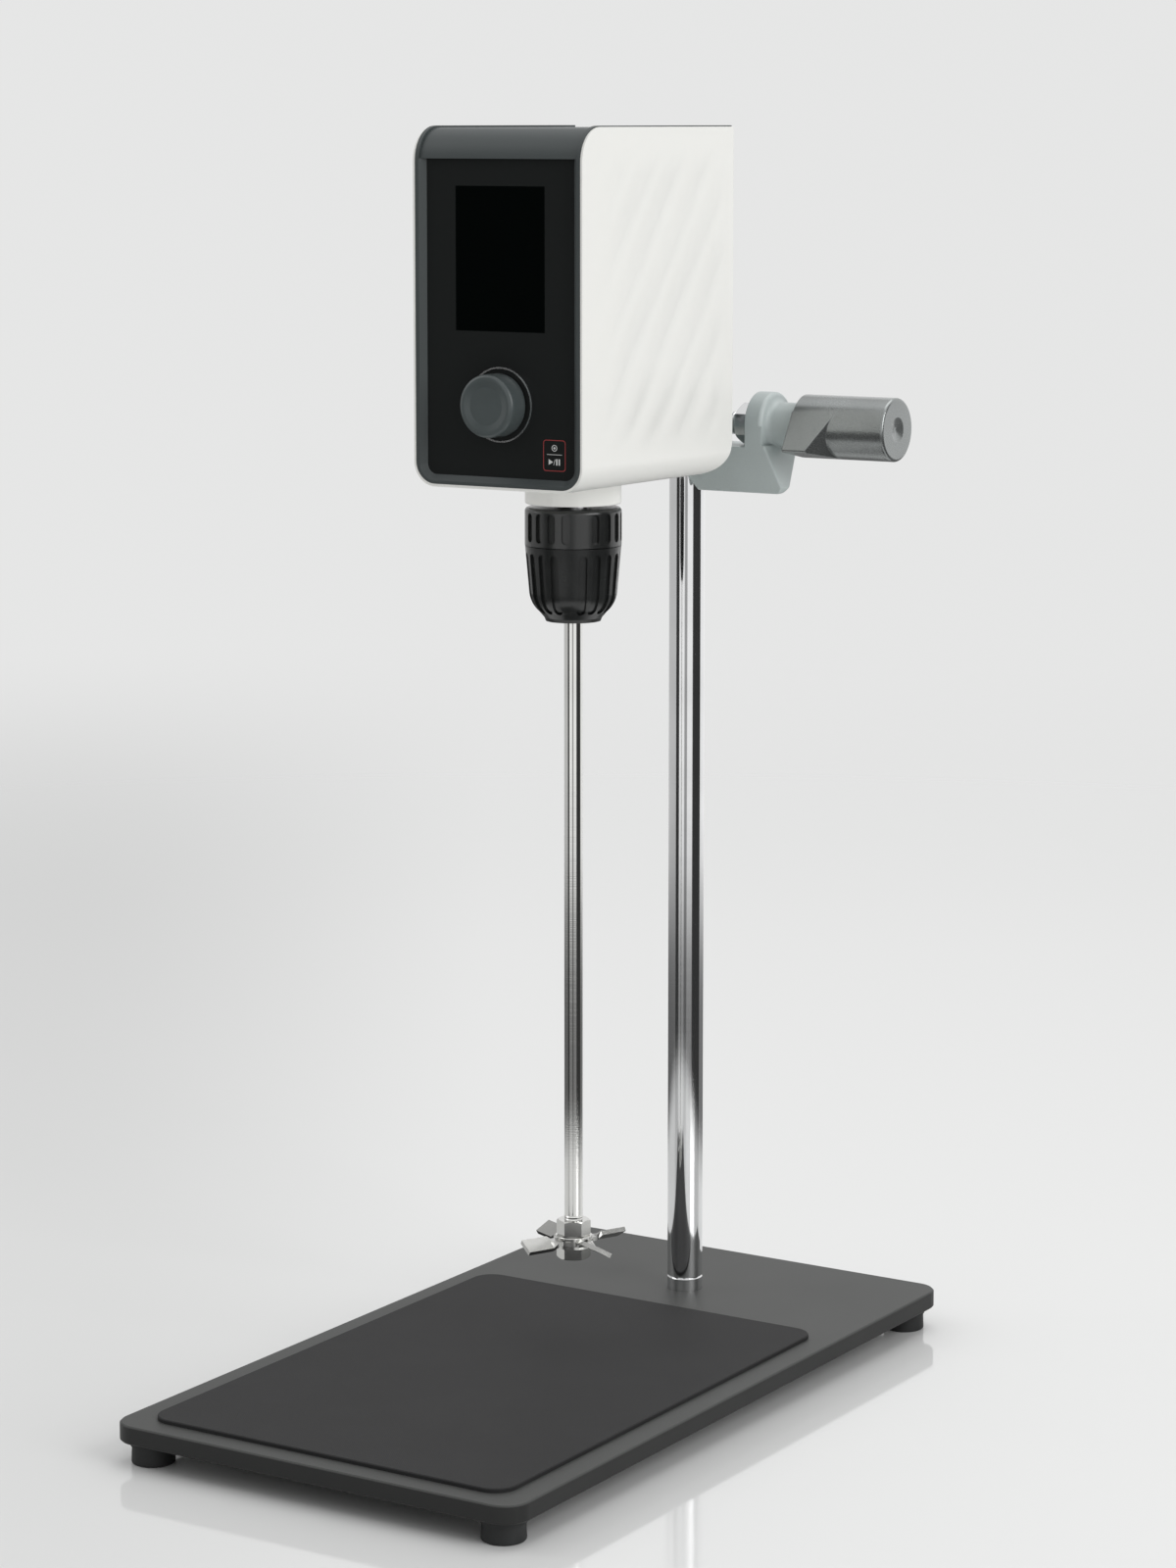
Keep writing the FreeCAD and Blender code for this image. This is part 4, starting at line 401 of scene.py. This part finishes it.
def panelGlass(name, look):
    paint = Paint(name, Specular_IOR_Level=look["specular"], IOR=look["index"],
                  Coat_Roughness=look["coatRough"])
    x, y, z = paint.coordinates()
    sideways = abs(x) - look["halfWide"]
    upright = abs(z - (look["low"] + look["high"]) / 2) - (look["high"] - look["low"]) / 2
    inside = sideways.most(upright).soft(look["edge"], 0)
    smear = paint.noise(look["smear"], 4)
    paint.give("Base Color", paint.blend(inside, look["colour"], look["screen"]))
    paint.give("Coat Weight", inside * (look["screenGloss"] - look["gloss"]) + look["gloss"])
    duller = inside * (look["screenRough"] - look["rough"])
    paint.give("Roughness", smear * look["smearSpread"] + duller + look["rough"])
    paint.bump(paint.noise(look["wave"], 2), look["relief"], look["deep"])
    return paint


dress(panelGlass("panel glass", glassLook), "glass_panel")
ringLook = {"colour": (0.84, 0.85, 0.85), "rough": 0.20}
dress(turnedMetal("knob ring metal", ringLook, "Y"), "knob_ring")
print("head dressed")

# Knob: satin slate plastic with fine turning marks round its face.
knobLook = {"colour": (0.066, 0.080, 0.081), "light": 1.08, "rough": 0.30, "spread": 0.1, "clouds": 50,
            "grain": 2200, "grainHigh": 0.5, "mark": 0.5 * mm, "markHigh": 0.3, "faceDeep": 0.9 * mm,
            "faceSoft": 0.4 * mm, "relief": 0.18, "deep": 0.06 * mm}


def turnedPlastic(name, look):
    paint = Paint(name)
    low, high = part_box("control_knob")
    centre = (low + high) / 2
    x, y, z = paint.coordinates()
    radius = ((x - centre.x) ** 2 + (z - centre.z) ** 2) ** 0.5
    onFace = (low.y + look["faceDeep"] - y).soft(0, look["faceSoft"])
    marks = (radius * (math.tau / look["mark"])).sine() * onFace
    grain = paint.noise(look["grain"], 2)
    cloud = paint.noise(look["clouds"], 3)
    tone = paint.blend(cloud.soft(0.3, 0.7), look["colour"], shade(look["colour"], look["light"]))
    paint.give("Base Color", tone)
    paint.give("Roughness", grain * look["spread"] + (look["rough"] - look["spread"] / 2))
    paint.bump(marks * look["markHigh"] + grain * look["grainHigh"], look["relief"], look["deep"])
    return paint


dress(turnedPlastic("knob plastic", knobLook), "control_knob")
dress(turnedMetal("shaft steel inside", steelLook, "Y"), "encoder_shaft")

# Circuit boards: green mask with copper runs under it and pale pads.
boardLook = {"mask": (0.012, 0.10, 0.045), "runs": (0.03, 0.17, 0.075), "pads": (0.62, 0.60, 0.52),
             "pitch": 3.5 * mm, "slantY": 0.7, "slantZ": 0.5, "runHalf": 0.22, "blocks": 130,
             "blockSize": 0.24, "padSpread": 260, "padSize": 0.09, "rough": 0.35, "relief": 0.3,
             "deep": 0.1 * mm}


def circuitBoard(name, look):
    paint = Paint(name, Roughness=look["rough"])
    x, y, z = paint.coordinates()
    slanting = (x + z * look["slantZ"] + y * look["slantY"]) * (1 / look["pitch"])
    blocks = paint.cells(look["blocks"]) < look["blockSize"]
    runs = (abs(slanting.wrap(1) - 0.5) < look["runHalf"]) * blocks
    pads = paint.cells(look["padSpread"]) < look["padSize"]
    paint.give("Base Color", paint.blend(pads, paint.blend(runs, look["mask"], look["runs"]), look["pads"]))
    paint.bump(runs, look["relief"], look["deep"])
    return paint


dress(circuitBoard("circuit board", boardLook), "control_board", "driver_board")
castLook = {"colour": (0.46, 0.47, 0.48), "rough": 0.42, "spread": 0.16, "lines": 0.3}
caseLook = {"colour": (0.022, 0.023, 0.024), "grain": 1700, "rough": 0.40}
dress(mouldedPlastic("dark case plastic", caseLook), "display_module", "encoder_body")
dress(turnedMetal("cast alloy", castLook), "motor_frame", "motor_can")
dress(turnedMetal("core steel", steelLook), "motor_stator", "motor_rotor", "lower_bearing", "upper_bearing")

# Inlet and switch: black plastic, with bright blades down in the inlet's cup.
socketLook = {"colour": (0.017, 0.0175, 0.018), "grain": 1900, "rough": 0.34}
smoothFinish = {"grain": 1500, "spread": 0.1, "soft": 0.3 * mm, "relief": 0.2, "deep": 0.06 * mm}
inletLook = {**socketLook, **smoothFinish, "blade": (0.62, 0.62, 0.60), "bladeAside": 7 * mm,
             "bladeHalf": 1.25 * mm, "bladeEdge": 0.2 * mm, "cupHalf": 9.3 * mm, "cupHigh": 4.5 * mm,
             "cupMouth": 3.5 * mm, "cupFloor": 16.8 * mm}


def inletPlastic(name, look):
    paint = Paint(name)
    low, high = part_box("power_inlet")
    centre = (low + high) / 2
    x, y, z = paint.coordinates()
    aside = abs(x - centre.x)
    below = (high.y - look["cupMouth"] - y).soft(0, look["soft"])
    above = (y - (high.y - look["cupFloor"])).soft(0, look["soft"])
    onBlade = abs(aside - look["bladeAside"]).least(aside)
    blades = onBlade.soft(look["bladeHalf"], look["bladeHalf"] - look["bladeEdge"]) * below * above
    bright = blades * (aside < look["cupHalf"]) * (abs(z - centre.z) < look["cupHigh"])
    grain = paint.noise(look["grain"], 2)
    paint.give("Base Color", paint.blend(bright, look["colour"], look["blade"]))
    paint.give("Metallic", bright)
    paint.give("Roughness", grain * look["spread"] + (look["rough"] - look["spread"] / 2))
    paint.bump(grain, look["relief"], look["deep"])
    return paint


dress(inletPlastic("inlet plastic", inletLook), "power_inlet")
dress(mouldedPlastic("switch plastic", socketLook), "power_switch")

# Rocker: bar and ring, the usual on and off signs, moulded pale into its two faces.
rockerLook = {**socketLook, **smoothFinish, "sign": (0.75, 0.75, 0.73), "signAway": 4.3 * mm,
              "barHigh": 1.9 * mm, "ringR": 1.7 * mm, "line": 0.4 * mm, "lineEdge": 0.1 * mm,
              "signDeep": 3.4 * mm}


def rockerPlastic(name, look):
    paint = Paint(name)
    low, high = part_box("switch_rocker")
    centre = (low + high) / 2
    x, y, z = paint.coordinates()
    sideways = x - centre.x
    line = (look["line"], look["line"] - look["lineEdge"])
    barEnd = abs(z - centre.z - look["signAway"]).soft(look["barHigh"], look["barHigh"] - look["lineEdge"])
    bar = abs(sideways).soft(*line) * barEnd
    radius = (sideways ** 2 + (z - centre.z + look["signAway"]) ** 2) ** 0.5
    ring = abs(radius - look["ringR"]).soft(*line)
    outward = (y - (high.y - look["signDeep"])).soft(0, look["soft"])
    grain = paint.noise(look["grain"], 2)
    paint.give("Base Color", paint.blend(bar.most(ring) * outward, look["colour"], look["sign"]))
    paint.give("Roughness", grain * look["spread"] + (look["rough"] - look["spread"] / 2))
    paint.bump(grain, look["relief"], look["deep"])
    return paint


dress(rockerPlastic("rocker plastic", rockerLook), "switch_rocker")
print("head insides dressed")

# Chuck sleeves: satin black finish, lighter in clouds where hands have rubbed it.
chuckLook = {"colour": (0.0125, 0.0135, 0.0133), "worn": 1.35, "specular": 0.6, "coat": 0.2,
             "coatRough": 0.25, "rough": 0.22, "sink": 0.08, "clouds": 70, "cloudSpread": 0.12,
             "lines": (20, 20, 2200), "lineSpread": 0.08, "relief": 0.12, "deep": 0.05 * mm}


def chuckBlack(name, look):
    paint = Paint(name, Specular_IOR_Level=look["specular"], Coat_Weight=look["coat"],
                  Coat_Roughness=look["coatRough"])
    lines = paint.streaks(look["lines"], 2)
    cloud = paint.noise(look["clouds"], 4)
    tone = paint.blend(cloud.soft(0.35, 0.75), look["colour"], shade(look["colour"], look["worn"]))
    paint.give("Base Color", tone)
    wear = cloud * look["cloudSpread"] + lines * look["lineSpread"]
    paint.give("Roughness", wear + (look["rough"] - look["sink"]))
    paint.bump(lines, look["relief"], look["deep"])
    return paint


dress(chuckBlack("chuck black", chuckLook), "chuck_upper_sleeve", "chuck_lower_sleeve")
jawLook = {"colour": (0.36, 0.365, 0.37), "rough": 0.30, "spread": 0.12, "lines": 0.1}
dress(turnedMetal("chuck steel", jawLook), "chuck_body", "jaw_1", "jaw_2", "jaw_3")
dress(turnedMetal("spindle chrome", chromeLook), "spindle")

# Stirring shaft: ground bright, with a thread at its lower end for the two nuts.
rodLook = {"colour": (0.78, 0.78, 0.76), "rough": 0.055, "spread": 0.02, "lines": 0.012, "pitch": 1.25 * mm,
           "threadLong": 19.4 * mm}
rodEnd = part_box("stirring_shaft")[0].z
rodThread = (rodEnd, rodEnd + rodLook["threadLong"])
dress(turnedMetal("ground rod", rodLook, "Z", rodLook["pitch"], rodThread), "stirring_shaft")
nutLook = {"colour": (0.62, 0.62, 0.60), "rough": 0.13, "spread": 0.05}
dress(turnedMetal("nut steel", nutLook), "lower_nut", "lower_washer", "upper_washer", "upper_nut")

# Propeller: sheet steel, brushed one way before its blades were bent.
bladeLook = {"colour": (0.50, 0.50, 0.485), "smearShade": 0.86, "rough": 0.20, "scratchSpread": 0.10,
             "smearSpread": 0.06, "smear": 60, "brush": (40, 900, 200), "brushTurn": 0.6, "relief": 0.04,
             "deep": 0.03 * mm}


def brushedSheet(name, look):
    paint = Paint(name, Metallic=1)
    scratches = paint.streaks(look["brush"], 3, (0, 0, look["brushTurn"]))
    smear = paint.noise(look["smear"], 4)
    tone = paint.blend(smear.soft(0.3, 0.8), look["colour"], shade(look["colour"], look["smearShade"]))
    paint.give("Base Color", tone)
    wear = scratches * look["scratchSpread"] + smear * look["smearSpread"]
    paint.give("Roughness", wear + (look["rough"] - look["smearSpread"]))
    paint.bump(scratches, look["relief"], look["deep"])
    return paint


dress(brushedSheet("blade steel", bladeLook), "propeller")
print("spindle and agitator dressed")

# Printed mark on the glass: a rounded outline, a rule, a press sign above it, play and pause below it.
markLook = {"centreX": 26.8 * mm, "centreZ": 413.9 * mm, "halfWide": 5.5 * mm, "halfHigh": 6.5 * mm,
            "corner": 1.4 * mm, "line": 0.32 * mm, "thick": 0.04 * mm, "red": (0.36, 0.045, 0.045),
            "pale": (0.66, 0.67, 0.66), "ruleUp": 0.4 * mm, "ruleHalf": 3.65 * mm, "ruleThick": 0.11 * mm,
            "playDown": 2.7 * mm, "playLeft": 2.1 * mm, "playR": 1.4 * mm, "slashHalf": 1.25 * mm,
            "slashThick": 0.12 * mm, "slashLean": -16, "pauseRight": (1.15 * mm, 2.4 * mm),
            "pauseThick": 0.36 * mm, "pauseHalf": 1.3 * mm, "pressUp": 3.1 * mm, "pressR": 1.35 * mm,
            "pressLine": 0.3 * mm, "dotR": 0.5 * mm}
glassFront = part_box("glass_panel")[0].y


def finishPiece(name, mesh, paint, body):
    bmesh.ops.remove_doubles(mesh, verts=mesh.verts, dist=1e-7)
    bmesh.ops.recalc_face_normals(mesh, faces=mesh.faces)
    data = bpy.data.meshes.new(name)
    mesh.to_mesh(data)
    mesh.free()
    data.materials.append(paint.material)
    piece = bpy.data.objects.new(name, data)
    bpy.context.scene.collection.objects.link(piece)
    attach(piece, body)


# A flat form laid on the glass, right and up from the mark's centre, its face toward the front.
def layFlat(mesh, verts, right, up):
    spot = (markLook["centreX"] + right, glassFront, markLook["centreZ"] + up)
    stand = Matrix.Translation(spot) @ Matrix.Rotation(math.radians(90), 4, "X")
    bmesh.ops.transform(mesh, matrix=stand, verts=verts)
    faces = list({face for vert in verts for face in vert.link_faces})
    raised = bmesh.ops.extrude_face_region(mesh, geom=faces)["geom"]
    moved = [item for item in raised if isinstance(item, bmesh.types.BMVert)]
    bmesh.ops.translate(mesh, vec=(0, -markLook["thick"], 0), verts=moved)


def flatBar(mesh, right, up, halfWide, halfHigh, lean=0):
    shape = Matrix.Rotation(math.radians(lean), 4, "Z") @ Matrix.Diagonal((halfWide, halfHigh, 1, 1))
    made = bmesh.ops.create_grid(mesh, x_segments=1, y_segments=1, size=1, matrix=shape)["verts"]
    layFlat(mesh, made, right, up)


def markRim(mesh, look):
    scale = Matrix.Diagonal((look["halfWide"], look["halfHigh"], 1, 1))
    corners = bmesh.ops.create_grid(mesh, x_segments=1, y_segments=1, size=1, matrix=scale)["verts"]
    bmesh.ops.bevel(mesh, geom=corners, offset=look["corner"], segments=8, profile=0.5, affect="VERTICES",
                    material=-1)
    inner = list(mesh.faces)
    bmesh.ops.inset_region(mesh, faces=inner, thickness=look["line"], use_boundary=True,
                           use_even_offset=True)
    bmesh.ops.delete(mesh, geom=inner, context="FACES")
    layFlat(mesh, list(mesh.verts), 0, 0)


def markSigns(mesh, look):
    flatBar(mesh, 0, look["ruleUp"], look["ruleHalf"], look["ruleThick"])
    flatBar(mesh, 0, -look["playDown"], look["slashThick"], look["slashHalf"], look["slashLean"])
    for right in look["pauseRight"]:
        flatBar(mesh, right, -look["playDown"], look["pauseThick"], look["pauseHalf"])
    pointRight = Matrix.Rotation(math.radians(-90), 4, "Z")
    arrow = bmesh.ops.create_circle(mesh, cap_ends=True, segments=3, radius=look["playR"],
                                    matrix=pointRight)["verts"]
    layFlat(mesh, arrow, -look["playLeft"], -look["playDown"])
    hoop = bmesh.ops.create_circle(mesh, cap_ends=True, segments=32, radius=look["pressR"])["verts"]
    disc = list({face for vert in hoop for face in vert.link_faces})
    bmesh.ops.inset_region(mesh, faces=disc, thickness=look["pressLine"], use_boundary=True,
                           use_even_offset=True)
    ringVerts = list({vert for face in disc for vert in face.verts} | set(hoop))
    bmesh.ops.delete(mesh, geom=disc, context="FACES_ONLY")
    layFlat(mesh, ringVerts, 0, look["pressUp"])
    dot = bmesh.ops.create_circle(mesh, cap_ends=True, segments=20, radius=look["dotR"])["verts"]
    layFlat(mesh, dot, 0, look["pressUp"])


inkFinish = {"specular": 0.4, "rough": 0.35, "spread": 0.1, "grain": 2500, "dark": 0.92}


def printInk(name, colour):
    paint = Paint(name, Specular_IOR_Level=inkFinish["specular"])
    grain = paint.noise(inkFinish["grain"], 2)
    paint.give("Base Color", paint.blend(grain, shade(colour, inkFinish["dark"]), colour))
    paint.give("Roughness", grain * inkFinish["spread"] + inkFinish["rough"])
    return paint


rim = bmesh.new()
markRim(rim, markLook)
finishPiece("mark_rim", rim, printInk("red ink", markLook["red"]), "head")
signs = bmesh.new()
markSigns(signs, markLook)
finishPiece("mark_signs", signs, printInk("pale ink", markLook["pale"]), "head")
print("mark printed")

# Studio. Each band is a dark gap in what metal and glass reflect: bearing, half width, soft edge, depth.
# Reflections also lose the floor beyond the apron, and grow dark low down, as over a small table.
roomLook = {"floor": (0.84, 0.845, 0.84), "rough": 0.075, "near": 0.75, "far": 2.6, "apronFrom": 0.34,
            "apronTo": 0.52, "sky": (0.79, 0.793, 0.79), "ambient": 0.54, "shine": 1.05, "dark": 0.04,
            "bands": [(11, 28, 5, 1.0), (-119, 10, 3, 1.0), (-64, 7, 4, 0.65), (178, 48, 8, 0.45)],
            "highFrom": 0.55, "highTo": 0.75, "highLevel": 0.9,
            "lowFrom": -0.165, "lowTo": -0.215, "lowLevel": 0.16}


# Glossy white floor that fades into the backdrop with distance.
def floorPaint(look):
    paint = Paint("pale floor", Roughness=look["rough"])
    x, y, z = paint.coordinates()
    reach = (x ** 2 + y ** 2) ** 0.5
    reflected = paint.node("ShaderNodeLightPath", output="Is Glossy Ray")
    apron = 1 - reflected * reach.soft(look["apronFrom"], look["apronTo"])
    paint.give("Base Color", look["floor"])
    paint.give("Alpha", reach.soft(look["far"], look["near"]) * apron)
    return paint


floorMesh = bmesh.new()
bmesh.ops.create_circle(floorMesh, cap_ends=True, segments=64, radius=roomLook["far"])
floorData = bpy.data.meshes.new("floor")
floorMesh.to_mesh(floorData)
floorMesh.free()
floorData.materials.append(floorPaint(roomLook).material)
floor = bpy.data.objects.new("floor", floorData)
bpy.context.scene.collection.objects.link(floor)


# Sky: plain for the camera and for soft light; for reflections a ring of pale screens with dark gaps.
def studioSky(look):
    world = bpy.data.worlds.new("studio")
    bpy.context.scene.world = world
    world.use_nodes = True
    sky = Shader(world.node_tree)
    direct = sky.node("ShaderNodeLightPath", output="Is Camera Ray")
    reflected = sky.node("ShaderNodeLightPath", output="Is Glossy Ray")
    x, y, z = sky.axes(sky.node("ShaderNodeTexCoord", output="Generated"))
    bearing = sky.node("ShaderNodeMath", {"operation": "ARCTAN2"}, [y, x]) * math.degrees(1)
    gaps = 0
    for middle, half, softEdge, depth in look["bands"]:
        away = abs((bearing - middle + 180).wrap(360) - 180)
        gaps = away.soft(half + softEdge, half) * depth + gaps
    screens = 1 - gaps.least(1)
    high = z.soft(look["highFrom"], look["highTo"]) * look["highLevel"]
    low = z.soft(look["lowTo"], look["lowFrom"]) * (1 - look["lowLevel"]) + look["lowLevel"]
    level = screens.most(high) * low * (look["shine"] - look["dark"]) + look["dark"]
    shine = sky.blend(level, (0, 0, 0), (1, 1, 1))
    tone = sky.blend(reflected, (look["ambient"],) * 3, shine)
    background = world.node_tree.nodes["Background"]
    sky.feed(background.inputs["Color"], sky.blend(direct, tone, look["sky"]))


studioSky(roomLook)

keyLook = {"spot": Vector((2.2, -0.3, 1.3)), "aim": Vector((0, 0, 0.35)), "wide": 1.3, "high": 1.7,
           "power": 23}
fillLook = {"spot": Vector((-1.5, -0.6, 1.3)), "aim": Vector((0, 0, 0.3)), "wide": 0.8, "high": 1.2,
            "power": 4}
topLook = {"spot": Vector((0.1, 0.5, 2.0)), "aim": Vector((0, 0, 0.2)), "wide": 1.4, "high": 1.4,
           "power": 9}


def softLamp(name, look):
    data = bpy.data.lights.new(name, "AREA")
    data.shape = "RECTANGLE"
    data.size = look["wide"]
    data.size_y = look["high"]
    data.energy = look["power"]
    lamp = bpy.data.objects.new(name, data)
    lamp.location = look["spot"]
    lamp.rotation_euler = (look["aim"] - look["spot"]).to_track_quat("-Z", "Y").to_euler()
    bpy.context.scene.collection.objects.link(lamp)


softLamp("key lamp", keyLook)
softLamp("fill lamp", fillLook)
softLamp("top lamp", topLook)

cameraLook = {"spot": (939.3 * mm, -1454.5 * mm, 553 * mm), "lens": 93.71, "sensor": 36, "shiftUp": -0.1,
              "down": 7.12, "round": 32.28}
cameraData = bpy.data.cameras.new("camera")
cameraData.lens = cameraLook["lens"]
cameraData.sensor_width = cameraLook["sensor"]
cameraData.shift_y = cameraLook["shiftUp"]
camera = bpy.data.objects.new("camera", cameraData)
camera.location = cameraLook["spot"]
camera.rotation_euler = (math.radians(90 - cameraLook["down"]), 0, math.radians(cameraLook["round"]))
bpy.context.scene.collection.objects.link(camera)
bpy.context.scene.camera = camera
bpy.context.scene.view_settings.view_transform = "Standard"
print("stage and camera set")
